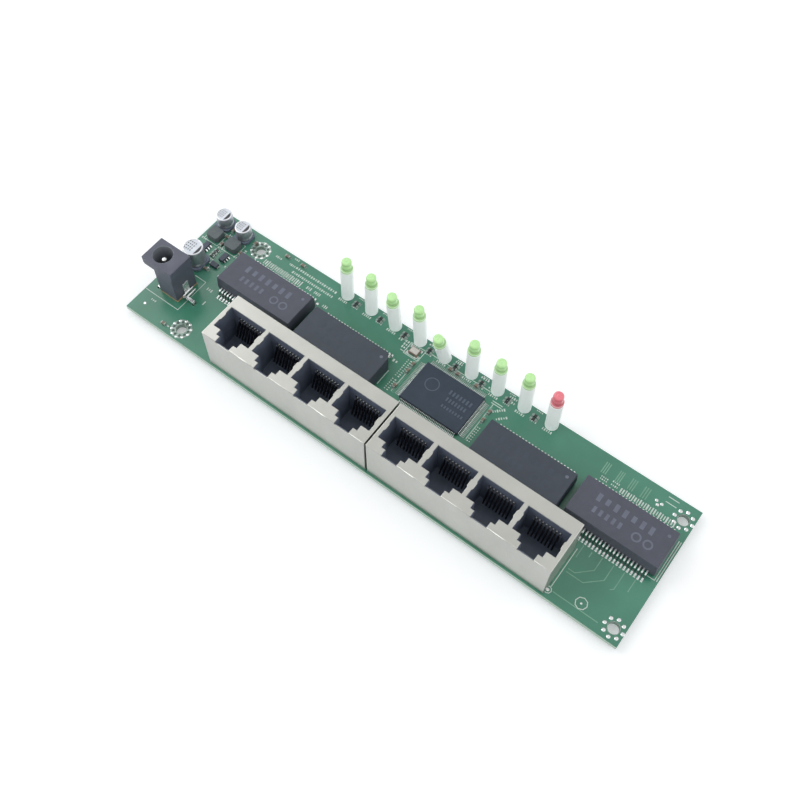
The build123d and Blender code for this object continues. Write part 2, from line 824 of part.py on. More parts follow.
# Chip resistors and capacitors
capacitor_spots = [(left + x, front + y, turn) for x, y, turn in converter_capacitors]
capacitor_spots += [(chip_x + x, chip_y + y, 90) for x, y in chip_corner_capacitors]
capacitor_spots += [(chip_x + x, chip_y + y, 0) for x, y in chip_rear_capacitors]
resistor_spots = [(left + x, front + y, turn) for x, y, turn in converter_resistors]
for x, y in led_places[:-1]:
    for row in (0, 1):
        spot_y = y - led_resistor_drop - row * led_resistor_gap
        resistor_spots.append((x + led_resistor_offset, spot_y, 0))
chip_parts = [
    ("chip_capacitors", capacitor_spots, chip_cap_height),
    ("chip_resistors", resistor_spots, chip_resistor_height),
]
for name, spots, height in chip_parts:
    with BuildPart() as chip_bodies:
        with BuildSketch(Plane.XY.offset(board_top)):
            with Locations([Location((x, y), turn) for x, y, turn in spots]):
                Rectangle(chip_part_length, chip_part_width)
        extrude(amount=height)
    chip_bodies.part.label = name
    export_step(chip_bodies.part, f"parts/{name}.step")
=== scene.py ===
"""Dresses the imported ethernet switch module: finishes, fine pieces, floor, lights and camera.

Metres, in the model's own frame: +X along the ports, +Y from the ports to the lights, +Z up.
"""

from math import acos, asin, cos, hypot, pi, radians, sin, tan

import bmesh
import bpy
from bpy.props import FloatProperty, FloatVectorProperty, IntProperty, PointerProperty
from bpy.types import Operator, Panel, PropertyGroup
from mathutils import Euler, Matrix, Vector


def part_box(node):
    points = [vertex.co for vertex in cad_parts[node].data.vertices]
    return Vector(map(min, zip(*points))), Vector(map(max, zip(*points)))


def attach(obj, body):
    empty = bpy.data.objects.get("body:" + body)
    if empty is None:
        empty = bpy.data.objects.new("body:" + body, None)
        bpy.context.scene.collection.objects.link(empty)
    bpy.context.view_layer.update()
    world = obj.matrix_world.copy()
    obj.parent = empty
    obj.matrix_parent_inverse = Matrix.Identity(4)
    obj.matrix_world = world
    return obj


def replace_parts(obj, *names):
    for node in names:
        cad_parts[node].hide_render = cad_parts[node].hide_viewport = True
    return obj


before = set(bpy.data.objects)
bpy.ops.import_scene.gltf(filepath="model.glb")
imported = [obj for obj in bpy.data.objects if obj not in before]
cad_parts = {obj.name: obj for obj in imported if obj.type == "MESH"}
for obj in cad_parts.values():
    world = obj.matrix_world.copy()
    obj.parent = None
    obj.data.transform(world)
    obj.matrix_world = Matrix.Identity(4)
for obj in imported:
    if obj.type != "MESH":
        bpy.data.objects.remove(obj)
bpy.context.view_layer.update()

bl_info = {
    "name": "Ethernet switch module",
    "version": (1, 0, 0),
    "blender": (4, 5, 0),
    "location": "3D View > Sidebar > Switch module",
    "description": "Finishes and fine pieces of the switch module, with its floor, lights and camera",
    "category": "Object",
}

MM = 0.001
BODY = "root"
LEFT, FRONT = -85.0, -22.4
BOARD_TOP = 3.0
BOARD_UNDER = 1.4
BLOCK_STARTS = (-51.55, 5.95)
BLOCK_LENGTH = 57.0
PORT_PITCH, FIRST_PORT = 13.97, 7.545
PORTS = [start + FIRST_PORT + n * PORT_PITCH for start in BLOCK_STARTS for n in range(4)]
CONTACT_PITCH = 1.02
HOLES = [(-66.1, -18.55), (-66.1, 17.45), (81.9, -18.55), (81.9, 17.45)]
HOLE_RADIUS = 1.6
SOCKET = (-80.0, -7.9)
SOCKET_BORE = 6.3
LEAD_PITCH = 1.045
LEADS_A_SIDE = 24
CHIP_PITCH = 0.5
LIGHTS, LIGHT_PITCH, FIRST_LIGHT, LIGHT_ROW = 9, 9.08, -33.96, 20.45
SPACER_HEIGHT, LENS_HEIGHT = 13.0, 4.5
GRAIN_DEPTH = 0.00005
# The photograph's view: turn, rise and roll in degrees, then the point looked at and its distance
CAMERA_ANGLES = (37.7115, 59.2177, -0.6797)
CAMERA_AIM = (-11.137, 10.697, 3.0)
CAMERA_DISTANCE = 297.788
CAMERA_LENS = 46.02
CAMERA_SHIFT = (0.0142, -0.0539)
FLOOR_HALF = 3.0
# Each lamp's name, place in metres, width in metres and power in watts
LAMPS = (("key", (-0.5, -0.22, 0.68), 0.6, 1.5), ("fill", (0.5, 0.35, 0.6), 0.8, 0.6))


def paint(red, green, blue):
    """A colour as it looks on screen, turned into the linear values that the shaders take."""
    screen = (red / 255, green / 255, blue / 255)
    return tuple(c / 12.92 if c < 0.04045 else ((c + 0.055) / 1.055) ** 2.4 for c in screen)


def colour_property(name, about, value):
    kind = {"subtype": "COLOR", "size": 3, "min": 0, "max": 1}
    return FloatVectorProperty(name=name, description=about, default=paint(*value), **kind)


def length_property(name, about, value):
    kind = {"unit": "LENGTH", "min": 0, "precision": 5}
    return FloatProperty(name=name, description=about, default=value * MM, **kind)


class ModuleColours(PropertyGroup):
    """The colours of the module's finishes."""

    mask: colour_property("Solder mask", "Green of the board", (64, 136, 112))
    mask_deep: colour_property("Solder mask, deep", "Green over bare laminate", (50, 118, 94))
    trace: colour_property("Trace", "Green over copper traces", (124, 176, 152))
    laminate: colour_property("Laminate", "Cut edge of the board", (150, 180, 156))
    print: colour_property("Print", "White print on the board", (214, 228, 220))
    sheet: colour_property("Jack sheet", "Tinned sheet of the jack shields", (190, 191, 185))
    # Painted light: lighter than the jacks' black plastic, so the port interiors look lit; also used on the
    # capacitor bases.
    jack_plastic: colour_property("Jack plastic", "Plastic inside the jacks", (112, 122, 140))
    # Painted shade: the contacts' gold is given as dark grey, for the shade deep in the ports.
    contact: colour_property("Contact", "Gold plating of the contacts", (84, 84, 86))
    tinned: colour_property("Tinned", "Tinned leads and terminals", (228, 231, 231))
    transformer: colour_property("Transformer", "Moulded transformer bodies", (78, 82, 94))
    chip: colour_property("Chip", "Moulded switch chip", (62, 72, 86))
    socket: colour_property("Power socket", "Moulded power socket", (84, 88, 102))
    strip: colour_property("Strip", "Tan strip under the power socket", (176, 150, 118))
    can: colour_property("Can", "Drawn capacitor cans", (188, 193, 200))
    can_print: colour_property("Can print", "Dark field on the capacitor tops", (38, 38, 42))
    inductor: colour_property("Inductor", "Pressed inductors", (100, 109, 112))
    lens_green: colour_property("Green lens", "Green lights", (202, 248, 178))
    lens_red: colour_property("Red lens", "Red light", (244, 134, 146))
    spacer: colour_property("Spacer", "Spacers of the lights", (249, 254, 253))
    ceramic: colour_property("Ceramic", "Chip capacitors and crystal base", (134, 118, 106))
    transformer_dark: colour_property("Transformer, dark", "The two transformers in the middle", (58, 66, 77))
    solder: colour_property("Solder", "Dull solder on small pads", (158, 176, 168))
    resistor: colour_property("Resistor", "Chip resistors", (44, 46, 50))
    lid: colour_property("Crystal lid", "Lid of the crystal", (216, 212, 206))
    floor: colour_property("Floor", "Floor and backdrop", (238, 240, 243))


class ModuleSizes(PropertyGroup):
    """Sizes of the fine pieces."""

    module_edge: length_property("Transformer edge", "Rounding of the transformers", 0.25)
    chip_edge: length_property("Chip edge", "Rounding of the switch chip", 0.08)
    socket_edge: length_property("Socket edge", "Rounding of the power socket", 0.3)
    sheet_fold: length_property("Sheet fold", "Radius of the shields' folds", 0.22)
    print_line: length_property("Print line", "Width of the printed lines", 0.24)
    trace_width: length_property("Trace width", "Width of the copper traces", 0.26)
    via_radius: length_property("Via radius", "Radius of a plated via", 0.3)
    joint_height: length_property("Joint height", "Height of the solder joints below", 0.8)
    lead_bend: length_property("Lead bend", "Radius of the bends in the leads", 0.3)
    comb_rib: length_property("Comb rib", "Width of the ribs between the contacts", 0.4)
    lead_width: length_property("Lead width", "Width of a transformer's lead", 0.42)
    terminal_ridges: IntProperty(name="Terminal ridges", description="Number of ridges", min=1, default=2)


def colours():
    return bpy.context.scene.module_colours


def sizes():
    return bpy.context.scene.module_sizes


# ---- Node trees


def node(tree, kind, inputs=None, **settings):
    """A node with its settings and inputs; an input is a value or another node's socket."""
    made = tree.nodes.new(kind)
    for key, value in settings.items():
        setattr(made, key, value)
    for key, value in (inputs or {}).items():
        if isinstance(value, bpy.types.NodeSocket):
            tree.links.new(value, made.inputs[key])
        else:
            made.inputs[key].default_value = value
    return made


def maths(tree, operation, *values):
    """What a Math node gives for its values or sockets."""
    return node(tree, "ShaderNodeMath", dict(enumerate(values)), operation=operation).outputs[0]


SORTS = {int: "NodeSocketInt", float: "NodeSocketFloat", tuple: "NodeSocketVector"}


def sockets(**values):
    """Named inputs for a node group, from their first values."""
    return [(key.replace("_", " "), SORTS[type(value)], value) for key, value in values.items()]


def new_group(name, kind, inputs, outputs):
    """An empty node group with named sockets, and its input and output sockets."""
    tree = bpy.data.node_groups.new(name, kind)
    for socket, sort, value in inputs:
        made = tree.interface.new_socket(socket, in_out="INPUT", socket_type=sort)
        if value is not None:
            made.default_value = value
    for socket, sort in outputs:
        tree.interface.new_socket(socket, in_out="OUTPUT", socket_type=sort)
    return tree, tree.nodes.new("NodeGroupInput").outputs, tree.nodes.new("NodeGroupOutput").inputs


def surface_group():
    """Mottled colour, uneven gloss and a fine relief, for every finish."""
    name = "uneven_surface"
    if name in bpy.data.node_groups:
        return bpy.data.node_groups[name]
    given = [(key, "NodeSocketColor", (0.5, 0.5, 0.5, 1)) for key in ("Color", "Second Color")]
    given += sockets(Patch_Scale=200.0, Grain_Scale=4000.0, Roughness=0.5, Roughness_Spread=0.1)
    given += sockets(Relief=0.2, Stretch=(1, 1, 1))
    out = [("Color", "NodeSocketColor"), ("Roughness", "NodeSocketFloat"), ("Normal", "NodeSocketVector")]
    tree, given, out = new_group(name, "ShaderNodeTree", given, out)
    place = node(tree, "ShaderNodeTexCoord").outputs["Object"]
    place = {0: place, 1: given["Stretch"]}
    place = node(tree, "ShaderNodeVectorMath", place, operation="MULTIPLY").outputs[0]
    patch = node(tree, "ShaderNodeTexNoise", {"Vector": place, "Scale": given["Patch Scale"], "Detail": 3.0})
    grain = node(tree, "ShaderNodeTexNoise", {"Vector": place, "Scale": given["Grain Scale"], "Detail": 2.0})
    share = node(tree, "ShaderNodeMapRange", {"Value": patch.outputs[0], "From Min": 0.3, "From Max": 0.7})
    mixed = {0: share.outputs[0], 6: given["Color"], 7: given["Second Color"]}
    mixed = node(tree, "ShaderNodeMix", mixed, data_type="RGBA")
    swing = maths(tree, "SUBTRACT", grain.outputs[0], 0.5)
    swing = maths(tree, "MULTIPLY_ADD", swing, given["Roughness Spread"], given["Roughness"])
    relief = {"Strength": given["Relief"], "Distance": GRAIN_DEPTH, "Height": grain.outputs[0]}
    relief = node(tree, "ShaderNodeBump", relief)
    tree.links.new(mixed.outputs[2], out["Color"])
    tree.links.new(swing, out["Roughness"])
    tree.links.new(relief.outputs[0], out["Normal"])
    return tree


def tone(colour, share):
    """The same colour, darker or brighter."""
    return tuple(c * share for c in colour)


def finish(
    name, base, second=0.82, patch=250, grain=4000, rough=0.5, spread=0.15, relief=0.25, stretch=(1, 1, 1),
    **plain
):
    """A material whose colour, gloss and relief vary over the surface.

    second is the colour of its patches, or their share of the base's brightness.
    Plain sockets keep one value.
    """
    if name in bpy.data.materials:
        return bpy.data.materials[name]
    made = bpy.data.materials.new(name)
    made.use_nodes = True
    tree = made.node_tree
    if isinstance(second, float):
        second = tone(base, second)
    surface = node(tree, "ShaderNodeGroup", node_tree=surface_group())
    values = {"Color": (*base, 1), "Second Color": (*second, 1), "Patch Scale": patch, "Grain Scale": grain}
    values |= {"Roughness": rough, "Roughness Spread": spread, "Relief": relief, "Stretch": stretch}
    for key, value in values.items():
        surface.inputs[key].default_value = value
    shader = tree.nodes["Principled BSDF"]
    for key in ("Roughness", "Normal"):
        tree.links.new(surface.outputs[key], shader.inputs[key])
    tree.links.new(surface.outputs["Color"], shader.inputs["Base Color"])
    for key, value in plain.items():
        shader.inputs[key.replace("_", " ")].default_value = value
    made.diffuse_color = (*base, 1)
    return made


def over(made, mask, colour):
    """Lays one more colour over a finish where a mask output is 1."""
    tree = made.node_tree
    shader = tree.nodes["Principled BSDF"]
    under = shader.inputs["Base Color"].links[0].from_socket
    mixed = node(tree, "ShaderNodeMix", {0: mask, 6: under, 7: (*colour, 1)}, data_type="RGBA")
    tree.links.new(mixed.outputs[2], shader.inputs["Base Color"])


def height_in(made):
    """The height of a point on the model, as a socket in a finish's tree."""
    place = node(made.node_tree, "ShaderNodeTexCoord").outputs["Object"]
    return node(made.node_tree, "ShaderNodeSeparateXYZ", {0: place}).outputs[2]


# ---- Mesh helpers


def finished(name, bm, material, smooth=30):
    """A piece in place that rides on the module."""
    mesh = bpy.data.meshes.new(name)
    bm.to_mesh(mesh)
    bm.free()
    return placed(name, mesh, material, smooth)


def placed(name, mesh, material, smooth=30):
    """The same, from a mesh that is ready."""
    mesh.materials.clear()
    mesh.materials.append(material)
    mesh.shade_smooth()
    mesh.set_sharp_from_angle(angle=radians(smooth))
    made = bpy.data.objects.new(name, mesh)
    bpy.context.scene.collection.objects.link(made)
    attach(made, BODY)
    return made


def turned(bm, profile, sides=32, place=None):
    """A body turned from (radius, height) points, from the bottom to the top."""
    place = place or Matrix()
    rings = []
    for radius, height in profile:
        turns = [2 * pi * k / sides for k in range(sides if radius else 1)]
        points = [Vector((radius * MM * cos(a), radius * MM * sin(a), height * MM)) for a in turns]
        rings.append([bm.verts.new(place @ point) for point in points])
    for low, high in zip(rings, rings[1:]):
        for k in range(sides):
            after = k + 1
            corners = [low[k % len(low)], low[after % len(low)], high[after % len(high)], high[k % len(high)]]
            loop = [v for n, v in enumerate(corners) if v not in corners[:n]]
            if len(loop) > 2:
                bm.faces.new(loop)


def turned_piece(name, profile, place, material, sides=32, smooth=30):
    """A turned body as a piece of its own."""
    bm = bmesh.new()
    turned(bm, profile, sides, place)
    return finished(name, bm, material, smooth)


def at(x, y, z=0.0):
    return Matrix.Translation((x * MM, y * MM, z * MM))


def around(x, y, radius, count, start=0.0):
    """Points spaced evenly on a circle."""
    turns = [start + 2 * pi * k / count for k in range(count)]
    return [(x + radius * cos(a), y + radius * sin(a)) for a in turns]


def extent(box):
    """The middle of a box in x and y, and its low and high corners, in millimetres."""
    low, high = [corner / MM for corner in box]
    return (low.x + high.x) / 2, (low.y + high.y) / 2, low, high


def block(bm, low, high):
    """A box between two corners in millimetres."""
    middle = [(a + b) / 2 for a, b in zip(low, high)]
    size = [(b - a) * MM for a, b in zip(low, high)]
    bmesh.ops.create_cube(bm, size=1, matrix=at(*middle) @ Matrix.Diagonal((*size, 1)))


def rounded(points, radius, steps=4):
    """The same path with an arc in place of each inner corner."""
    path = [Vector(points[0])]
    for before, corner, after in zip(points, points[1:], points[2:]):
        corner = Vector(corner)
        into, out = Vector(before) - corner, Vector(after) - corner
        turn = (pi - into.angle(out)) / 2
        cut = min(radius * tan(turn), into.length * 0.48, out.length * 0.48)
        start, end = corner + into.normalized() * cut, corner + out.normalized() * cut
        for k in range(steps + 1):
            t = k / steps
            path.append(start.lerp(corner, t).lerp(corner.lerp(end, t), t))
    path.append(Vector(points[-1]))
    return path


def strip(bm, points, thickness, width, middle, place):
    """A flat strip bent along a path of (out, up) points; place maps (across, out, up) to the model."""
    path = [Vector(p) for p in points]
    sides = []
    for n, point in enumerate(path):
        into = (path[n] - path[n - 1]).normalized() if n else (path[1] - path[0]).normalized()
        out = (path[n + 1] - path[n]).normalized() if n + 1 < len(path) else into
        along = (into + out).normalized()
        lift = Vector((-along.y, along.x)) * (thickness / 2 / max(along.dot(into), 0.3))
        sides.append((point + lift, point - lift))
    rows = []
    for upper, lower in sides:
        corners = ((upper, -1), (upper, 1), (lower, 1), (lower, -1))
        corners = [Vector((middle + side * width / 2, p.x, p.y)) * MM for p, side in corners]
        rows.append([bm.verts.new(place @ corner) for corner in corners])
    for a, b in zip(rows, rows[1:]):
        for k in range(4):
            bm.faces.new((a[k], b[k], b[(k + 1) % 4], a[(k + 1) % 4]))
    bm.faces.new(rows[0])
    bm.faces.new(rows[-1][::-1])


def finer(name, cad, edge, material, segments=2, weights=None, angle=35):
    """A CAD node's own shape with rounded edges, in its place."""
    bm = bmesh.new()
    bm.from_mesh(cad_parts[cad].data)
    bmesh.ops.remove_doubles(bm, verts=bm.verts, dist=1e-6)
    bmesh.ops.dissolve_limit(bm, angle_limit=radians(1), verts=bm.verts, edges=bm.edges)
    if weights:
        layer = bm.edges.layers.float.new("bevel_weight_edge")
        for line in bm.edges:
            line[layer] = weights(line)
    made = finished(name, bm, material)
    soft = made.modifiers.new("rounding", "BEVEL")
    soft.width = edge
    soft.segments = segments
    soft.limit_method = "WEIGHT" if weights else "ANGLE"
    soft.angle_limit = radians(angle)
    soft.use_clamp_overlap = True
    soft.harden_normals = True
    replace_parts(made, cad)
    return made


def dress(name, material):
    """A CAD node keeps its shape and gets its finish."""
    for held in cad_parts[name].material_slots:
        held.material = material


# ---- Geometry Nodes


def way_tree(name, **own):
    """An empty tree from a start mesh to a finished one, with its own named inputs between the two."""
    mesh, material = ("Geometry", "NodeSocketGeometry", None), ("Material", "NodeSocketMaterial", None)
    return new_group(name, "GeometryNodeTree", [mesh, *sockets(**own), material], [mesh[:2]])


def closed(tree, shape, given, out):
    """Ends a tree: its instances are made real and get their material."""
    real = node(tree, "GeometryNodeRealizeInstances", {"Geometry": shape.outputs[0]})
    made = node(tree, "GeometryNodeSetMaterial", {"Geometry": real.outputs[0], "Material": given["Material"]})
    tree.links.new(made.outputs[0], out[0])
    return tree


def repeat_in_a_row(name):
    """Repeats the given mesh in a straight row."""
    tree, given, out = way_tree(name, Count=2, Step=(0, 0, 0))
    line = {"Count": given["Count"], "Offset": given["Step"]}
    line = node(tree, "GeometryNodeMeshLine", line, mode="OFFSET")
    many = {"Points": line.outputs[0], "Instance": given["Geometry"]}
    return closed(tree, node(tree, "GeometryNodeInstanceOnPoints", many), given, out)


def dot_on_each_point(name):
    """Sets a round dot, dome or cone on each given point, in the size that the point carries."""
    own = {"Sides": 12, "Foot_Radius": 0.0003, "Top_Radius": 0.0003, "Height": 0.00005, "Turn": (0, 0, 0)}
    tree, given, out = way_tree(name, **own)
    cone = {"Vertices": given["Sides"], "Depth": given["Height"]}
    cone |= {"Radius Bottom": given["Foot Radius"], "Radius Top": given["Top Radius"]}
    cone = node(tree, "GeometryNodeMeshCone", cone)
    size = node(tree, "GeometryNodeInputNamedAttribute", {"Name": "size"}, data_type="FLOAT")
    many = {"Points": given["Geometry"], "Instance": cone.outputs["Mesh"]}
    many |= {"Rotation": given["Turn"], "Scale": size.outputs["Attribute"]}
    return closed(tree, node(tree, "GeometryNodeInstanceOnPoints", many), given, out)


def plate_on_each_point(name):
    """Sets a small block on each given point, turned and sized as the point says."""
    tree, given, out = way_tree(name, Height=0.00005)
    cube = node(tree, "GeometryNodeMeshCube", {"Size": (1, 1, 1)})
    up = node(tree, "GeometryNodeTransform", {"Geometry": cube.outputs[0], "Translation": (0, 0, 0.5)})
    turn = node(tree, "GeometryNodeInputNamedAttribute", {"Name": "turn"}, data_type="FLOAT")
    turn = node(tree, "ShaderNodeCombineXYZ", {"Z": turn.outputs["Attribute"]})
    size = node(tree, "GeometryNodeInputNamedAttribute", {"Name": "plate"}, data_type="FLOAT_VECTOR")
    size = node(tree, "ShaderNodeSeparateXYZ", {0: size.outputs["Attribute"]}).outputs
    size = node(tree, "ShaderNodeCombineXYZ", {"X": size[0], "Y": size[1], "Z": given["Height"]})
    many = {"Points": given["Geometry"], "Instance": up.outputs[0]}
    many |= {"Rotation": turn.outputs[0], "Scale": size.outputs[0]}
    return closed(tree, node(tree, "GeometryNodeInstanceOnPoints", many), given, out)


def line_along_each_path(name):
    """Lays a flat line of one width along each given edge path."""
    tree, given, out = way_tree(name, Width=0.0002, Height=0.00004)
    path = node(tree, "GeometryNodeMeshToCurve", {0: given["Geometry"]})
    path = node(tree, "GeometryNodeSetCurveNormal", {0: path.outputs[0]}, mode="Z_UP")
    shape = {key: given[key] for key in ("Width", "Height")}
    shape = node(tree, "GeometryNodeCurvePrimitiveQuadrilateral", shape)
    drawn = {"Curve": path.outputs[0], "Profile Curve": shape.outputs[0], "Fill Caps": True}
    return closed(tree, node(tree, "GeometryNodeCurveToMesh", drawn), given, out)


def grown(name, mesh, build, values, smooth=30):
    """A finished piece from a node tree worked over a start mesh."""
    tree = bpy.data.node_groups.get(build.__name__) or build(build.__name__)
    start = bpy.data.objects.new(name + "_start", mesh)
    bpy.context.scene.collection.objects.link(start)
    way = start.modifiers.new("way", "NODES")
    way.node_group = tree
    for item in tree.interface.items_tree:
        if item.in_out == "INPUT" and item.name in values:
            way[item.identifier] = values[item.name]
    graph = bpy.context.evaluated_depsgraph_get()
    result = bpy.data.meshes.new_from_object(start.evaluated_get(graph), depsgraph=graph)
    result.name = name
    result.polygons.foreach_set("material_index", [0] * len(result.polygons))
    start.modifiers.remove(way)
    bpy.data.objects.remove(start)
    return placed(name, result, values["Material"], smooth)


def row_of(name, bm, count, step, material, smooth=30):
    """One shape repeated in a row; step is in millimetres."""
    mesh = bpy.data.meshes.new(name)
    bm.to_mesh(mesh)
    bm.free()
    values = {"Count": count, "Step": tuple(v * MM for v in step), "Material": material}
    return grown(name, mesh, repeat_in_a_row, values, smooth)


def dots(name, places, foot, top, height, material, down=False, sides=12):
    """places are (x, y, z) or (x, y, z, size) in millimetres."""
    mesh = bpy.data.meshes.new(name)
    mesh.from_pydata([(x * MM, y * MM, z * MM) for x, y, z, *_ in places], [], [])
    size = mesh.attributes.new("size", "FLOAT", "POINT")
    size.data.foreach_set("value", [p[3] if len(p) > 3 else 1.0 for p in places])
    values = {"Sides": sides, "Foot Radius": foot, "Top Radius": top, "Height": height, "Material": material}
    values["Turn"] = (pi if down else 0, 0, 0)
    return grown(name, mesh, dot_on_each_point, values)


def plates(name, places, height, material):
    """places are (x, y, z, turn in degrees, length, width) in millimetres."""
    mesh = bpy.data.meshes.new(name)
    mesh.from_pydata([(p[0] * MM, p[1] * MM, p[2] * MM) for p in places], [], [])
    turn = mesh.attributes.new("turn", "FLOAT", "POINT")
    turn.data.foreach_set("value", [radians(p[3]) for p in places])
    size = mesh.attributes.new("plate", "FLOAT_VECTOR", "POINT")
    size.data.foreach_set("vector", [v for p in places for v in (p[4] * MM, p[5] * MM, 0)])
    values = {"Height": height, "Material": material}
    return grown(name, mesh, plate_on_each_point, values)


def lines(name, paths, width, material, z=BOARD_TOP, height=0.04):
    """paths are lists of (x, y) in millimetres, measured from the board's front left corner."""
    points, edges = [], []
    for path in paths:
        first = len(points)
        points += [((LEFT + x) * MM, (FRONT + y) * MM, z * MM) for x, y in path]
        edges += [(first + k, first + k + 1) for k in range(len(path) - 1)]
    mesh = bpy.data.meshes.new(name)
    mesh.from_pydata(points, edges, [])
    values = {"Width": width, "Height": height * MM, "Material": material}
    return grown(name, mesh, line_along_each_path, values)


# ---- Finishes that several pieces share


def tinned():
    base = colours().tinned
    return finish("tinned_metal", base, 0.8, patch=900, rough=0.26, spread=0.2, relief=0.15, Metallic=0.9)


def dull_solder():
    base = colours().solder
    return finish("dull_solder", base, 0.7, patch=1500, rough=0.4, spread=0.3, relief=0.3, Metallic=0.5)


def gold():
    # Gold darkened to grey: painted shade over the contacts in the deep ports.
    base = colours().contact
    return finish("gold_plating", base, 0.8, rough=0.4, relief=0.1, Metallic=1.0)


def white_print():
    base = colours().print
    return finish("white_print", base, 0.86, patch=2500, rough=0.55, relief=0.2)


def trace_mask():
    base = colours().trace
    return finish("trace_mask", base, 0.8, patch=300, rough=0.32, relief=0.1, Coat_Weight=0.25)


def board_mask():
    """Green mask that is deeper in patches, and bare laminate on the cut edges."""
    if "board_mask" in bpy.data.materials:
        return bpy.data.materials["board_mask"]
    base, deep = colours().mask, colours().mask_deep
    made = finish(
        "board_mask", base, deep, patch=60, grain=2500, rough=0.32, spread=0.12, relief=0.1,
        Coat_Weight=0.6, Coat_Roughness=0.2,
    )
    tree = made.node_tree
    facing = node(tree, "ShaderNodeTexCoord").outputs["Normal"]
    up = node(tree, "ShaderNodeSeparateXYZ", {0: facing}).outputs[2]
    over(made, maths(tree, "LESS_THAN", maths(tree, "ABSOLUTE", up), 0.5), colours().laminate)
    return made


# ---- Pieces


class MODULE_OT_board(Operator):
    """Finish the circuit board, its holes, traces, vias and printed lines"""

    bl_idname = "module.board"
    bl_label = "Circuit board"

    def execute(self, context):
        size = sizes()
        dress("circuit_board", board_mask())
        bm = bmesh.new()
        for n, (x, y) in enumerate(HOLES):
            reach = 3.3 if n < 2 else 1.8
            low, high = BOARD_UNDER - 0.04, BOARD_TOP + 0.04
            ring = [(reach, low), (reach, high), (HOLE_RADIUS, high), (HOLE_RADIUS, low), (reach, low)]
            turned(bm, ring, 48, at(x, y))
        bmesh.ops.remove_doubles(bm, verts=bm.verts, dist=1e-7)
        bmesh.ops.recalc_face_normals(bm, faces=bm.faces)
        solder = finish(
            "hole_solder", paint(158, 178, 169), paint(92, 116, 104), patch=1500, rough=0.35, spread=0.3,
            relief=0.6, Metallic=0.6,
        )
        finished("hole_plating", bm, solder)
        left, right = HOLES[:2], HOLES[2:]
        bright = [(*spot, BOARD_TOP) for hole in right for spot in around(*hole, 2.62, 8)]
        dots("hole_solder_dots", bright, 0.54 * MM, 0.34 * MM, 0.16 * MM, tinned(), sides=16)
        # Painted shade: thin dark discs on the board stand in for the shade inside the via holes.
        dark = finish("via_bore_painted_shade", paint(76, 92, 88), rough=0.6)
        vias = [(*spot, BOARD_TOP + 0.04) for hole in left for spot in around(*hole, 2.35, 10, 0.2)]
        dots("hole_vias", vias, 0.42 * MM, 0.4 * MM, 0.02 * MM, dark)
        between = 0.2 + pi / 10
        beads = [(*spot, BOARD_TOP + 0.03) for hole in left for spot in around(*hole, 2.95, 10, between)]
        dots("hole_beads", beads, 0.42 * MM, 0.2 * MM, 0.14 * MM, tinned())
        lines("printed_lines", printed_paths(), size.print_line, white_print())
        plates("printed_labels", printed_labels(), 0.035 * MM, white_print())
        lines("traces", COPPER, size.trace_width, trace_mask(), height=0.03)
        bare = [(142.75, 1.9), (147.1, 1.8), (151.0, 2.0), (155.0, 2.2)]
        bare = [(x + k * wide / 3, 40.6, 0, 0.3, 3.7) for x, wide in bare for k in (-1, 0, 1)]
        bare = [(LEFT + x, FRONT + y, BOARD_TOP, *rest) for x, y, *rest in bare]
        plates("covered_pads", bare, 0.03 * MM, trace_mask())
        spots = [(3.81, 4.09), (148.3, 2.3), (45.5, 35.0), (10.2, 25.1)]
        spots += [(159.2, 39.6), (160.1, 40.4), (158.4, 40.6)]
        spots = [(x, y, 1.5) for x, y in spots] + [(157.1, 4.35, 1.0)]
        spots = [(LEFT + x, FRONT + y, BOARD_TOP, share) for x, y, share in spots]
        via = size.via_radius
        dots("board_spots", spots, via, via * 0.8, 0.05 * MM, tinned(), sides=16)
        return {"FINISHED"}


COPPER = [
    [(149.5, 18.0), (149.5, 14.0)],
    [(152.2, 17.6), (152.2, 16.0)],
    [(155.2, 18.0), (155.2, 13.8), (151.5, 10.2), (149.5, 10.2)],
    [(158.6, 18.0), (158.6, 13.0), (154.5, 9.2), (149.5, 9.2)],
    [(161.8, 18.0), (161.8, 12.5), (161.0, 11.8)],
    [(165.0, 18.0), (165.0, 14.0)],
    [(149.6, 2.6), (163.0, 2.6)],
]


def frame_of(x, y, across, back):
    """The closed outline of a rectangle, from its middle and half sizes."""
    return [(x + a * across, y + b * back) for a, b in ((-1, -1), (1, -1), (1, 1), (-1, 1), (-1, -1))]


def printed_paths():
    """Outlines printed on the board, measured from its front left corner."""
    marks = [
        [(0.3, 8.2), (13.4, 8.2), (13.4, 20.7), (9.0, 20.7)],
        [(76.6, 24.0), (76.6, 29.5)],
        [(166.8, 20.8), (168.9, 20.8), (168.9, 34.0)],
        [(169.5, 20.8), (169.5, 34.0)],
        [(148.6, 3.4), (148.6, 16.2)],
        [(160.5, 41.8), (163.7, 41.8)],
        [(160.5, 43.5), (163.7, 43.5)],
        [(75.0, 37.3), (80.5, 37.3)],
        [(81.2, 24.6), (81.2, 38.4)],
        [(107.0, 24.8), (107.0, 38.4)],
        [(83.6, 41.3), (104.8, 41.3)],
        [(106.2, 38.6), (109.6, 38.6)],
        [(106.2, 39.3), (109.6, 39.3)],
    ]
    for x in (4.1, 11.35):
        marks.append(frame_of(x, 35.65, 2.7, 2.6))
    for ring in ((157.1, 4.35, 1.65), (148.3, 2.3, 1.0)):
        corners = around(*ring, 8)
        marks.append([*corners, corners[0]])
    return marks


def label(x, y, length, height, count, turn=0):
    """Short strokes in a row, in place of small print; x and y from the board's corner."""
    step = length / count
    strokes = []
    for k in range(count):
        along = (k + 0.5) * step - length / 2
        spot = (LEFT + x + along * cos(radians(turn)), FRONT + y + along * sin(radians(turn)))
        wide = step * (0.5 + 0.14 * sin(k * 2.4 + x))
        strokes.append((*spot, BOARD_TOP, turn, wide, height * (0.85 + 0.15 * sin(k * 4.1 + y))))
    return strokes


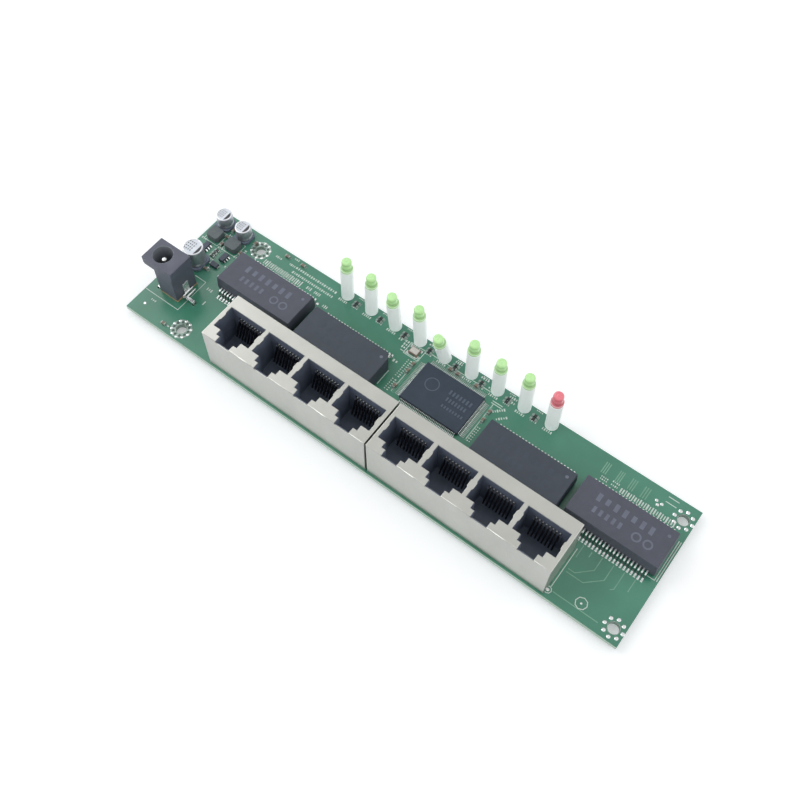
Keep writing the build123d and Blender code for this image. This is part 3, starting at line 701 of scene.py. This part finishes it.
def printed_labels():
    """Rows of strokes where the board has its small print."""
    rows = [
        (39.8, 41.5, 16.0, 0.9, 19), (39.8, 39.6, 16.0, 0.9, 21), (16.2, 19.3, 2.3, 1.1, 3),
        (18.1, 14.7, 0.9, 1.5, 1), (48.0, 35.5, 2.0, 1.2, 3), (40.0, 37.8, 2.0, 1.2, 3),
        (43.2, 37.8, 2.5, 1.2, 4), (29.8, 37.5, 15.1, 2.2, 20), (73.0, 40.2, 1.6, 1.0, 2),
        (75.6, 40.6, 2.3, 0.8, 3), (75.6, 39.5, 2.3, 0.8, 3), (75.6, 38.4, 2.3, 0.8, 3),
        (76.2, 33.1, 2.0, 0.9, 2), (82.4, 42.4, 2.6, 0.8, 4), (86.4, 41.9, 2.4, 0.8, 4),
        (82.2, 43.8, 2.8, 0.7, 4), (91.6, 43.6, 2.6, 0.8, 4), (96.6, 42.6, 1.8, 0.8, 3),
        (100.6, 43.8, 3.0, 0.8, 4), (103.8, 42.2, 2.2, 0.8, 3), (110.6, 43.4, 2.8, 0.8, 4),
        (110.6, 42.0, 2.8, 0.8, 4), (109.4, 37.6, 4.0, 0.9, 6, 45), (111.4, 36.0, 3.6, 0.8, 5, 45),
        (143.9, 37.9, 2.4, 0.5, 4), (143.9, 37.1, 2.4, 0.5, 4), (147.2, 38.4, 2.3, 0.6, 4),
        (147.2, 37.3, 2.3, 0.6, 4), (157.4, 37.3, 17.0, 1.9, 23), (14.2, 2.2, 3.4, 0.5, 2),
        (8.2, 33.1, 2.2, 0.8, 3), (1.5, 33.0, 2.0, 0.7, 3), (14.6, 33.2, 2.0, 0.8, 3),
        (8.0, 38.6, 2.0, 0.7, 3), (15.4, 36.2, 2.0, 0.8, 3, 90), (8.3, 28.2, 2.6, 0.7, 4),
        (14.9, 28.6, 2.2, 0.8, 3), (15.4, 24.8, 2.0, 0.7, 3), (16.6, 41.2, 2.0, 0.9, 3),
        (8.2, 30.6, 2.0, 0.6, 3, 90), (25.2, 41.2, 2.4, 0.8, 4), (30.4, 41.4, 2.4, 0.8, 4),
        (30.3, 43.9, 2.0, 0.7, 3), (5.2, 6.4, 2.2, 0.7, 3),
    ]
    rows += [(79.6, 24.2 + k * 0.78, 1.9, 0.34, 2) for k in range(6)]
    rows += [(79.6, 29.5 + k * 0.78, 2.0, 0.34, 2) for k in range(9)]
    rows += [(107.9, 24.7 + k * 0.85, 1.3, 0.36, 2) for k in range(7)]
    for n in range(LIGHTS):
        x = FIRST_LIGHT - LEFT + LIGHT_PITCH * n
        rows.append((x - 0.1, 40.5, 3.3, 0.9, 5))
        if n < LIGHTS - 1:
            rows += [(x + 4.3, 40.7, 2.3, 0.7, 4), (x + 4.3, 44.3, 2.2, 0.5, 4)]
    return [stroke for row in rows for stroke in label(*row)]


class MODULE_OT_jacks(Operator):
    """Build the folded jack shields and finish the housings and their contacts"""

    bl_idname = "module.jacks"
    bl_label = "Port jacks"

    def execute(self, context):
        base = colours().sheet
        sheet = finish(
            "tinned_sheet", base, 0.9, patch=120, grain=1500, rough=0.36, spread=0.14,
            relief=0.12, stretch=(1, 1, 0.35), Metallic=0.85,
        )
        # The jack plastic's lightened colour is painted light inside the ports.
        plastic = finish("jack_plastic", colours().jack_plastic, patch=400, rough=0.42, relief=0.2)

        for side in ("left", "right"):
            low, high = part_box(f"jack_shield_{side}")

            def fold(line, low=low, high=high):
                ends = [v.co for v in line.verts]
                top = all(abs(p.z - high.z) < 1e-5 for p in ends)
                on = [all(min(abs(p[k] - low[k]), abs(p[k] - high[k])) < 1e-5 for p in ends) for k in (0, 1)]
                if top and any(on) or all(on):
                    return 1.0
                return 0.3 if top else 0.0

            name = f"jack_shield_{side}"
            finer(name + "_sheet", name, sizes().sheet_fold, sheet, 3, fold)
            dress(f"jack_housing_{side}", plastic)
            dress(f"jack_contacts_{side}", gold())
        bm = bmesh.new()
        rib = sizes().comb_rib / MM / 2
        first = PORTS[0] - 4 * CONTACT_PITCH
        block(bm, (first - rib, -10.95, 9.9), (first + rib, -10.4, 14.7))
        for n, x in enumerate(PORTS):
            copy = bm.copy()
            bmesh.ops.translate(copy, verts=copy.verts, vec=((x - PORTS[0]) * MM, 0, 0))
            row_of(f"comb_{n + 1}", copy, 9, (CONTACT_PITCH, 0, 0), plastic)
        bm.free()
        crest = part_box("jack_contacts_left")[1].z / MM
        # Painted highlight: small bright plates at the tops of the dark contacts stand in for glints on the
        # contact bends.
        painted_glint_spots = [x + (k - 3.5) * CONTACT_PITCH for x in PORTS for k in range(8)]
        painted_glint_spots = [(x, -10.3, crest - 0.04, 0, 0.34, 0.4) for x in painted_glint_spots]
        bright = finish("contact_painted_glint", colours().tinned, 0.8, patch=900, rough=0.4, relief=0.1, Metallic=0.2)
        plates("contact_painted_glints", painted_glint_spots, 0.06 * MM, bright)
        return {"FINISHED"}


class MODULE_OT_transformers(Operator):
    """Build the four line transformers and their bent leads"""

    bl_idname = "module.transformers"
    bl_label = "Line transformers"

    def execute(self, context):
        base = colours().transformer
        dark = colours().transformer_dark
        matt = {"grain": 6000, "rough": 0.62, "spread": 0.2, "relief": 0.5}
        plastic = finish("transformer_plastic", base, 0.86, patch=500, **matt)
        dark_plastic = finish("transformer_dark_plastic", dark, 0.84, patch=400, **matt)
        pale = finish("mould_mark", tone(base, 2.1), tone(base, 1.7), rough=0.75)
        faint = finish("worn_mark", tone(dark, 1.22), dark, rough=0.75)
        bright = colours().tinned
        tin = finish("lead_tin_painted_slope_shade", bright, 0.8, patch=900, rough=0.3, spread=0.2, relief=0.15, Metallic=0.85)
        # Painted shade: the sloping middle of each lead is darkened to a quarter of the tin's brightness.
        painted_shade_on_slope = maths(tin.node_tree, "COMPARE", height_in(tin), 4.1 * MM, 0.65 * MM)
        over(tin, painted_shade_on_slope, tone(bright, 0.25))
        bend, width = sizes().lead_bend / MM, sizes().lead_width / MM
        marks = []
        for n in range(1, 5):
            body = plastic if n in (1, 4) else dark_plastic
            edge = sizes().module_edge
            finer(f"transformer_body_{n}", f"line_transformer_{n}", edge, body)
            middle, _, low, high = extent(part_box(f"line_transformer_{n}"))
            front, rear, top = low.y, high.y, high.z
            path = [(-0.3, 5.07), (1.25, 5.07), (1.8, 3.16), (2.6, 3.16)]
            bm = bmesh.new()
            first = middle - (LEADS_A_SIDE - 1) / 2 * LEAD_PITCH
            for out, face in ((-1, front), (1, rear)):
                place = Matrix.Translation((0, face * MM, 0)) @ Matrix.Diagonal((-out, out, 1, 1))
                strip(bm, rounded(path, bend), 0.25, width, -out * first, place)
            bmesh.ops.recalc_face_normals(bm, faces=bm.faces)
            leads = row_of(f"transformer_bent_leads_{n}", bm, LEADS_A_SIDE, (LEAD_PITCH, 0, 0), tin)
            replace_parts(leads, f"transformer_leads_{n}")
            xs = [first + k * LEAD_PITCH for k in range(LEADS_A_SIDE)]
            pads = [(x, front - 2.3, BOARD_TOP, 90, 1.3, 0.58) for x in xs]
            pads += [(x, rear + 1.9, BOARD_TOP, 90, 1.2, 0.58) for x in xs]
            plates(f"transformer_pads_{n}", pads, 0.06 * MM, tinned())
            beads = [(x, front - 2.5, BOARD_TOP + 0.04) for x in xs]
            dots(f"transformer_beads_{n}", beads, 0.3 * MM, 0.14 * MM, 0.3 * MM, tinned())
            marks.append((high.x - 2.2, front + 9.6, top - 0.01))
            bars = [(middle - 8 + k * 2.6, front + 8.1, 1.9 if k % 3 == 1 else 2.4, 1.2) for k in range(7)]
            bars += [(middle - 7.4 + k * 1.9, front + 4.4, 1.9, 0.9) for k in range(5)]
            bars = [(x, y, top - 0.01, 90, *rest) for x, y, *rest in bars]
            shade = pale if n in (1, 4) else faint
            plates(f"transformer_marks_{n}", bars, 0.02 * MM, shade)
            ring = bmesh.new()
            for x in (5.2, 8.6):
                outline = [(0.9, top), (1.4, top), (1.4, top + 0.01), (0.9, top + 0.01), (0.9, top)]
                turned(ring, outline, 32, at(middle + x, front + 4.2))
            finished(f"transformer_rings_{n}", ring, shade)
        dots("pin_marks", marks, 0.5 * MM, 0.47 * MM, 0.02 * MM, pale, sides=20)
        return {"FINISHED"}


class MODULE_OT_chip(Operator):
    """Build the switch chip and its bent leads"""

    bl_idname = "module.chip"
    bl_label = "Switch chip"

    def execute(self, context):
        base = colours().chip
        matt = {"grain": 7000, "rough": 0.6, "relief": 0.4, "Specular_IOR_Level": 0.25}
        plastic = finish("switch_chip_plastic", base, 0.86, patch=300, **matt)
        finer("switch_chip_body", "switch_chip", sizes().chip_edge, plastic)
        x, y, _, high = extent(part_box("switch_chip"))
        long_side, short_side = (38, 7.0), (26, 10.0)
        path = rounded([(-0.2, 3.72), (0.22, 3.72), (0.5, 3.1), (1.0, 3.1)], 0.12, 3)
        made = []
        for (count, half), across in ((long_side, 0), (short_side, 90)):
            bm = bmesh.new()
            for turn in (0, 180):
                place = at(x, y) @ Matrix.Rotation(radians(across + turn), 4, "Z") @ at(0, half)
                side = 1 if turn == 0 else -1
                strip(bm, path, 0.16, 0.22, -side * (count - 1) / 2 * CHIP_PITCH, place)
            bmesh.ops.recalc_face_normals(bm, faces=bm.faces)
            step = (CHIP_PITCH, 0, 0) if across == 0 else (0, CHIP_PITCH, 0)
            made.append(row_of(f"chip_bent_leads_{count}", bm, count, step, tinned()))
        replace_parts(made[0], "switch_chip_leads")
        pads, fans = [], []
        for (count, half), across in ((long_side, 90), (short_side, 0)):
            for side in (-1, 1):
                for k in range(count):
                    along, out = (k - (count - 1) / 2) * CHIP_PITCH, side * (half + 1.35)
                    spot = (x + along, y + out) if across else (x + out, y + along)
                    pads.append((*spot, BOARD_TOP, across, 1.2, 0.3))
                    out = side * (half + 2.75)
                    spot = (x + along * 1.04, y + out) if across else (x + out, y + along * 1.04)
                    fans.append((*spot, BOARD_TOP, across, 1.0, 0.13))
        plates("chip_pads", pads, 0.05 * MM, dull_solder())
        plates("chip_fan_out", fans, 0.03 * MM, trace_mask())
        pale = finish("chip_mark", tone(base, 1.7), tone(base, 1.4), patch=900, rough=0.6)
        top = high.z - 0.01
        marks, rows = [], [(4.6, 2.6, 7, 8.0, 1.5), (4.6, 0.2, 7, 7.0, 1.3), (4.9, -2.3, 8, 7.5, 0.9)]
        for left, level, count, length, tall in rows:
            step = length / count
            first = x + left - (count - 1) / 2 * step
            marks += [(first + k * step, y + level, top, 90, tall, step * 0.5) for k in range(count)]
        plates("chip_marks", marks, 0.02 * MM, pale)
        ring = [(1.9, top), (2.2, top), (2.2, top + 0.02), (1.9, top + 0.02), (1.9, top)]
        turned_piece("chip_ring", ring, at(x - 4.6, y + 1.6), pale, 40)
        return {"FINISHED"}


class MODULE_OT_power(Operator):
    """Build the power socket, its pin, strip and terminals"""

    bl_idname = "module.power"
    bl_label = "Power socket"

    def execute(self, context):
        base = colours().socket
        plastic = finish("socket_plastic", base, 0.85, patch=350, grain=5000, rough=0.5, relief=0.3)
        tree, x, y = plastic.node_tree, *SOCKET
        # Painted light: the plastic within the bore's radius is lighter than the rest of the socket.
        where = node(tree, "ShaderNodeTexCoord").outputs["Object"]
        for kind, other in (("SUBTRACT", (x * MM, y * MM, 0)), ("MULTIPLY", (1, 1, 0))):
            where = node(tree, "ShaderNodeVectorMath", {0: where, 1: other}, operation=kind).outputs[0]
        where = node(tree, "ShaderNodeVectorMath", {0: where}, operation="LENGTH").outputs["Value"]
        over(plastic, maths(tree, "LESS_THAN", where, SOCKET_BORE / 2 * MM), paint(136, 142, 150))
        edge = sizes().socket_edge
        finer("power_socket_body", "power_socket", edge, plastic, 3, angle=40)
        dress("power_socket_base", finish("tan_strip", colours().strip, patch=900, rough=0.75, relief=0.5))
        # Painted shade and highlight: the pin is tin darkened for the shade of the bore, and only its tip
        # above 15 mm stays bright.
        pin_painted_shade, deep = tone(colours().tinned, 0.2), tone(colours().tinned, 0.14)
        pin_painted_shade = finish("pin_metal_painted_shade_and_glint", pin_painted_shade, deep, patch=900, rough=0.3, Metallic=0.8)
        over(pin_painted_shade, maths(pin_painted_shade.node_tree, "GREATER_THAN", height_in(pin_painted_shade), 15.0 * MM), colours().tinned)
        foot, tip = [(0, 7.7), (1.6, 7.7), (1.6, 8.7)], [(1.0, 14.4), (0.85, 14.9), (0.45, 15.15)]
        pin = [*foot, (1.0, 8.75), *tip, (0, 15.2)]
        pin = turned_piece("power_pin", pin, at(*SOCKET), pin_painted_shade, 24)
        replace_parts(pin, "power_socket_pin")
        for name in ("power_terminal", "power_lug"):
            finer(name + "_sheet", name, 0.08 * MM, tinned())
        bm = bmesh.new()
        rod = [(0, -2.25), (0.24, -2.2), (0.3, -2), (0.3, 2), (0.24, 2.2), (0, 2.25)]
        turned(bm, rod, 12, at(-73.0, SOCKET[1], 4.2) @ Matrix.Rotation(pi / 2, 4, "X"))
        row_of("terminal_ridges", bm, sizes().terminal_ridges, (0.95, 0, -0.4), tinned())
        return {"FINISHED"}


class MODULE_OT_converters(Operator):
    """Build the capacitors, inductors, regulators and the diode"""

    bl_idname = "module.converters"
    bl_label = "Power converters"

    def execute(self, context):
        base = colours().can
        can = finish("drawn_can", base, 0.88, patch=500, grain=2500, rough=0.42, relief=0.1, Metallic=0.8)
        dark = finish("can_print", colours().can_print, patch=900, rough=0.5)
        grey = finish("can_letters", tone(base, 0.35), patch=900, rough=0.5)
        # Painted highlight: the rolled top edge of each can is near-white, lighter than the can's own metal.
        rim_painted_highlight = finish("can_rim_painted_highlight", paint(232, 234, 238), patch=900, rough=0.3, Metallic=0.4)
        # The capacitor bases share the jack plastic's lightened colour, which is painted light.
        plastic = finish("base_plastic", colours().jack_plastic, patch=500, rough=0.5, relief=0.3)
        for n in range(1, 4):
            x, y, low, high = extent(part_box(f"capacitor_{n}"))
            r, foot, top = (high.x - low.x) / 2, low.z, high.z
            lower = ((0.25, 0), (0.08, 0.1), (0, 0.3), (0, 0.65), (0.22, 0.95), (0.22, 1.1), (0, 1.4))
            upper = ((0, 0.35), (0.1, 0.12), (0.3, 0.01), (0.45, 0.03), (0.5, 0.08))
            wall = [(r - a, foot + b) for a, b in lower] + [(r - a, top - b) for a, b in upper]
            wall = [(0, foot), *wall, (0, top - 0.08)]
            body = turned_piece(f"can_{n}", wall, at(x, y), can, 48, smooth=40)
            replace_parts(body, f"capacitor_{n}")
            line = 1.75 if n == 1 else 1.1
            inner = r - 0.47
            start = acos(line / inner)
            bm = bmesh.new()
            rim = [start * (1 - 2 * k / 16) for k in range(17)]
            rim = [(x + inner * cos(a), y + inner * sin(a)) for a in rim]
            fields = []
            for z in (top - 0.085, top - 0.055):
                fields.append(bm.faces.new([bm.verts.new((a * MM, b * MM, z * MM)) for a, b in rim]))
            bmesh.ops.bridge_loops(bm, edges=[edge for field in fields for edge in field.edges])
            bmesh.ops.recalc_face_normals(bm, faces=bm.faces)
            finished(f"can_field_{n}", bm, dark)
            cells = [(a, b) for a in (-2, -1, 0, 1) for b in (-1.5, -0.5, 0.5, 1.5)]
            grid = [(r * (a * 0.24 - 0.2), r * b * 0.3) for a, b in cells]
            grid = [(a, b) for a, b in grid if a < line - 0.3]
            grid = [(x + a, y + b, top - 0.09, 90, r * 0.17, r * 0.13) for a, b in grid]
            plates(f"can_print_{n}", grid, 0.02 * MM, grey)
            # The ring on the can's top edge that carries the painted highlight.
            rim = ((0.5, 0.1), (0.42, 0.1), (0.3, 0), (0.08, 0.1), (0.08, 0.16), (0.5, 0.1))
            rim = [(r - a, top - b) for a, b in rim]
            turned_piece(f"can_rim_painted_highlight_{n}", rim, at(x, y), rim_painted_highlight, 48)
            finer(f"can_base_{n}", f"capacitor_base_{n}", 0.12 * MM, plastic)
        powder = finish("inductor_powder", colours().inductor, patch=1200, grain=6000, rough=0.7, relief=0.6)
        for n in (1, 2):
            finer(f"inductor_body_{n}", f"inductor_{n}", 0.14 * MM, powder)
        small = finish("small_chip_plastic", colours().chip, patch=900, rough=0.5, relief=0.3)
        for name in ("regulator_1", "regulator_2", "diode"):
            finer(f"{name}_body", name, 0.08 * MM, small)
        dress("regulator_leads", tinned())
        dress("diode_tabs", tinned())
        return {"FINISHED"}


class MODULE_OT_crystal(Operator):
    """Build the crystal and its corner pads"""

    bl_idname = "module.crystal"
    bl_label = "Crystal"

    def execute(self, context):
        lid = finish("crystal_lid", colours().lid, patch=900, rough=0.35, relief=0.1, Metallic=0.3)
        ceramic = finish("ceramic", colours().ceramic, patch=1500, rough=0.6, relief=0.3)
        finer("crystal_lid_sheet", "crystal_lid", 0.12 * MM, lid)
        finer("crystal_body", "crystal_base", 0.08 * MM, ceramic)
        x, y, *_ = extent(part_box("crystal_base"))
        pads = [(x + a * 1.5, y + b * 1.1, BOARD_TOP, 0, 1.1, 0.9) for a in (-1, 1) for b in (-1, 1)]
        plates("crystal_pads", pads, 0.07 * MM, tinned())
        outline = frame_of(x - LEFT, y - FRONT, 2.6, 2.1)
        lines("crystal_outline", [outline], sizes().print_line, white_print())
        return {"FINISHED"}


LEANS = [
    (0.04, 0.41), (0.06, 0.25), (-0.28, -1.49), (-0.72, -0.32), (0.07, -4.73),
    (0.07, -0.34), (0.22, -0.88), (-0.23, -0.09), (-0.18, -0.22),
]


def light_place(n):
    """The frame of a light's spacer, at its foot on the board."""
    across, back = LEANS[n]
    height = SPACER_HEIGHT + LENS_HEIGHT
    tilt = asin(hypot(across, back) / height)
    turn = Euler((asin(-back / height), asin(across / height), 0)).to_matrix().to_4x4()
    seat = 0.8 / cos(tilt) + 1.95 * tan(tilt)
    return at(FIRST_LIGHT + LIGHT_PITCH * n, LIGHT_ROW, 2.2) @ turn @ at(0, 0, seat)


class MODULE_OT_lights(Operator):
    """Build the nine lights on their spacers"""

    bl_idname = "module.lights"
    bl_label = "Lights"

    def execute(self, context):
        white = colours().spacer
        # Painted light: a faint emission in each lens's own colour brightens the unlit lenses.
        clear = {"Coat_Weight": 0.3, "Transmission_Weight": 0.2, "IOR": 1.35, "Emission_Strength": 0.1}
        lens = {}
        for slot, tint in (("led_green", colours().lens_green), ("led_red", colours().lens_red)):
            clear["Emission_Color"] = (*tint, 1)
            made = finish(f"{slot}_lens", tint, 0.92, patch=700, rough=0.22, relief=0.05, **clear)
            height = node(made.node_tree, "ShaderNodeAttribute", attribute_name="lens_height").outputs["Fac"]
            # Painted shade and light: two darker bands, just above the flange and just below the dome, and a
            # paler flange.
            painted_shade_and_light_bands = ((0.33, 0.12, 0.62, 0), (0.78, 0.05, 0.8, 0), (0.1, 0.11, 0.55, 0.42))
            for middle, reach, share, pale in painted_shade_and_light_bands:
                band = maths(made.node_tree, "COMPARE", height, middle, reach)
                over(made, band, tuple(c * share + pale for c in tint))
            lens[slot] = made
        # Painted light: the spacers get a faint white emission, a glow that stands in for light through the
        # tube.
        clear = {"Transmission_Weight": 0.3, "IOR": 1.35, "Emission_Strength": 0.14}
        clear["Emission_Color"] = (*white, 1)
        spacer_with_painted_glow = finish("spacer_plastic_painted_glow", white, 0.97, patch=350, rough=0.4, relief=0.1, **clear)
        profile = [
            (0, 0), (1.8, 0), (1.9, 0.1), (1.9, 0.85), (1.8, 0.95), (1.5, 1.0), (1.5, 3.7), (1.44, 4.02),
            (1.26, 4.28), (0.98, 4.4), (0.66, 4.4), (0.52, 4.34), (0.4, 4.4), (0, LENS_HEIGHT),
        ]
        top = SPACER_HEIGHT
        body = [(0, 0), (1.85, 0), (1.95, 0.1), (1.95, top - 0.12), (1.87, top), (0, top)]
        for n in range(LIGHTS):
            place = light_place(n)
            made = turned_piece(f"light_spacer_{n + 1}", body, place, spacer_with_painted_glow)
            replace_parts(made, f"led_spacer_{n + 1}")
            bm = bmesh.new()
            foot = place @ at(0, 0, top)
            turned(bm, profile, 32, foot)
            layer, back = bm.verts.layers.float.new("lens_height"), foot.inverted()
            for vert in bm.verts:
                vert[layer] = (back @ vert.co).z / MM / LENS_HEIGHT
            slot = "led_green" if n < LIGHTS - 1 else "led_red"
            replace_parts(finished(f"light_lens_{n + 1}", bm, lens[slot], 40), f"led_{n + 1}")
        dress("led_leads", tinned())
        return {"FINISHED"}


class MODULE_OT_small_parts(Operator):
    """Build the chip resistors and capacitors with their soldered ends"""

    bl_idname = "module.small_parts"
    bl_label = "Chip parts"

    def execute(self, context):
        capacitor = finish("chip_capacitor", colours().ceramic, patch=900, rough=0.5)
        resistor = finish("chip_resistor", colours().resistor, patch=900, rough=0.45)
        looks = [("chip_capacitors", 0.8, capacitor, "ceramic_base")]
        looks.append(("chip_resistors", 0.45, resistor, "chip_plastic"))
        for name, height, body, slot in looks:
            middles, ends, pads = [], [], []
            for x, y, length, width in islands(name):
                turn = 0 if length > width else 90
                dx, dy = (1, 0) if turn == 0 else (0, 1)
                middles.append((x, y, BOARD_TOP + 0.01, turn, 1.0, 0.78))
                for side in (-1, 1):
                    ends.append((x + side * 0.64 * dx, y + side * 0.64 * dy, BOARD_TOP, turn, 0.32, 0.8))
                    pads.append((x + side * 0.95 * dx, y + side * 0.95 * dy, BOARD_TOP, turn, 0.5, 0.86))
            made = plates(name + "_bodies", middles, (height - 0.02) * MM, body)
            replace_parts(made, name)
            plates(name + "_ends", ends, height * MM, dull_solder())
            plates(name + "_pads", pads, 0.08 * MM, dull_solder())
        return {"FINISHED"}


def islands(name):
    """Middle and size, in millimetres, of each small block in a CAD node."""
    bm = bmesh.new()
    bm.from_mesh(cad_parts[name].data)
    bmesh.ops.remove_doubles(bm, verts=bm.verts, dist=1e-6)
    left, found = set(bm.verts), []
    while left:
        group = {left.pop()}
        while near := {line.other_vert(v) for v in group for line in v.link_edges} - group:
            group |= near
        left -= group
        xs, ys = [v.co.x / MM for v in group], [v.co.y / MM for v in group]
        found.append(((min(xs) + max(xs)) / 2, (min(ys) + max(ys)) / 2, max(xs) - min(xs), max(ys) - min(ys)))
    bm.free()
    return sorted(found)


class MODULE_OT_underside(Operator):
    """Build the solder joints under the board"""

    bl_idname = "module.underside"
    bl_label = "Solder joints"

    def execute(self, context):
        rows = (-9.25, -7.35)
        joints = [(x + (k - 3.5) * CONTACT_PITCH, rows[k % 2], 0.75) for x in PORTS for k in range(8)]
        lights = [FIRST_LIGHT + LIGHT_PITCH * n for n in range(LIGHTS)]
        joints += [(x + side, LIGHT_ROW, 1.0) for x in lights for side in (-1.27, 1.27)]
        tabs = [start + way for start in BLOCK_STARTS for way in (0.125, BLOCK_LENGTH - 0.125)]
        joints += [(x, y, 1.5) for x in tabs for y in (-18.4, -9.75)]
        joints += [(-69.1, -9.6, 1.4), (-82.0, -11.2, 1.4)]
        joints = [(x, y, BOARD_UNDER, share) for x, y, share in joints]
        height = sizes().joint_height
        dots("solder_joints", joints, 0.72 * MM, 0.3 * MM, height, tinned(), down=True)
        return {"FINISHED"}


class MODULE_OT_stage(Operator):
    """Set out the floor, the lights and the camera"""

    bl_idname = "module.stage"
    bl_label = "Stage"

    def execute(self, context):
        scene = context.scene
        scene.view_settings.view_transform = "Standard"
        floor = bpy.data.meshes.new("floor")
        corners = [(x, y, 0) for x, y in frame_of(0, 0, FLOOR_HALF, FLOOR_HALF)[:4]]
        floor.from_pydata(corners, [], [(0, 1, 2, 3)])
        ground = finish("floor", colours().floor, 0.99, patch=3, rough=0.9, relief=0)
        tree = ground.node_tree
        shader = tree.nodes["Principled BSDF"]
        seen = node(tree, "ShaderNodeLightPath")
        either = maths(tree, "MAXIMUM", seen.outputs["Is Camera Ray"], seen.outputs["Is Glossy Ray"])
        either = maths(tree, "MAXIMUM", either, seen.outputs["Is Transmission Ray"])
        tree.links.new(maths(tree, "MULTIPLY", either, 0.3), shader.inputs["Emission Strength"])
        shader.inputs["Emission Color"].default_value = (1, 1, 1, 1)
        shader.inputs["Specular IOR Level"].default_value = 0.1
        floor.materials.append(ground)
        ground_piece = bpy.data.objects.new("floor", floor)
        scene.collection.objects.link(ground_piece)
        ground_piece.location.z = -0.0002

        world = bpy.data.worlds.new("studio")
        scene.world = world
        world.use_nodes = True
        tree = world.node_tree
        back = tree.nodes["Background"]
        back.inputs["Color"].default_value = (1, 1, 1, 1)
        seen = node(tree, "ShaderNodeLightPath")
        way = node(tree, "ShaderNodeTexCoord").outputs["Generated"]
        way = node(tree, "ShaderNodeSeparateXYZ", {0: way})
        mirrored = {"Value": way.outputs[2], "To Min": 1.0, "To Max": 0.5}
        mirrored = node(tree, "ShaderNodeMapRange", mirrored).outputs[0]
        for start, end, strength in ((-0.38, -0.58, 2.0), (-0.34, -0.12, 0.45)):
            softbox = {"Value": way.outputs[0], "From Min": start, "From Max": end, "To Max": strength}
            softbox = node(tree, "ShaderNodeMapRange", softbox, interpolation_type="SMOOTHSTEP")
            mirrored = maths(tree, "ADD", mirrored, softbox.outputs[0])
        power = {0: seen.outputs["Is Glossy Ray"], 2: 0.72, 3: mirrored}
        power = node(tree, "ShaderNodeMix", power, data_type="FLOAT").outputs[0]
        open_view = maths(tree, "MAXIMUM", seen.outputs["Is Camera Ray"], seen.outputs["Is Transmission Ray"])
        power = node(tree, "ShaderNodeMix", {0: open_view, 2: power, 3: 1.0}, data_type="FLOAT")
        tree.links.new(power.outputs[0], back.inputs["Strength"])

        for name, place, width, power in LAMPS:
            lamp = bpy.data.lights.new(name, "AREA")
            lamp.shape = "DISK"
            lamp.size = width
            lamp.energy = power
            held = bpy.data.objects.new(name, lamp)
            scene.collection.objects.link(held)
            held.location = place
            held.rotation_euler = (-Vector(place)).to_track_quat("-Z", "Y").to_euler()

        turn, rise, roll = (radians(angle) for angle in CAMERA_ANGLES)
        back = Vector((sin(turn) * cos(rise), -cos(turn) * cos(rise), sin(rise)))
        right = (-back).cross(Vector((0, 0, 1))).normalized()
        up = right.cross(-back)
        across = cos(roll) * right + sin(roll) * up
        above = -sin(roll) * right + cos(roll) * up
        view = bpy.data.cameras.new("camera")
        view.sensor_width = 36
        view.lens = CAMERA_LENS
        view.shift_x, view.shift_y = CAMERA_SHIFT
        view.clip_start, view.clip_end = 0.01, 20
        camera = bpy.data.objects.new("camera", view)
        scene.collection.objects.link(camera)
        place = Vector(CAMERA_AIM) * MM + back * CAMERA_DISTANCE * MM
        camera.matrix_world = Matrix.Translation(place) @ Matrix((across, above, back)).transposed().to_4x4()
        scene.camera = camera
        return {"FINISHED"}


PIECES = (
    MODULE_OT_stage,
    MODULE_OT_board,
    MODULE_OT_jacks,
    MODULE_OT_transformers,
    MODULE_OT_chip,
    MODULE_OT_power,
    MODULE_OT_converters,
    MODULE_OT_crystal,
    MODULE_OT_lights,
    MODULE_OT_small_parts,
    MODULE_OT_underside,
)


class MODULE_PT_pieces(Panel):
    """Lists the pieces in the 3D view's sidebar"""

    bl_label = "Switch module"
    bl_idname = "MODULE_PT_pieces"
    bl_space_type = "VIEW_3D"
    bl_region_type = "UI"
    bl_category = "Switch module"

    def draw(self, context):
        for piece in PIECES:
            self.layout.operator(piece.bl_idname)
        for group in (context.scene.module_colours, context.scene.module_sizes):
            box = self.layout.box()
            for name in group.__annotations__:
                box.prop(group, name)


CLASSES = (ModuleColours, ModuleSizes, *PIECES, MODULE_PT_pieces)


def register():
    for each in CLASSES:
        bpy.utils.register_class(each)
    bpy.types.Scene.module_colours = PointerProperty(type=ModuleColours)
    bpy.types.Scene.module_sizes = PointerProperty(type=ModuleSizes)


def unregister():
    del bpy.types.Scene.module_sizes
    del bpy.types.Scene.module_colours
    for each in reversed(CLASSES):
        bpy.utils.unregister_class(each)


def main():
    register()
    for piece in PIECES:
        group, name = piece.bl_idname.split(".")
        getattr(getattr(bpy.ops, group), name)()


if __name__ == "__main__":
    main()
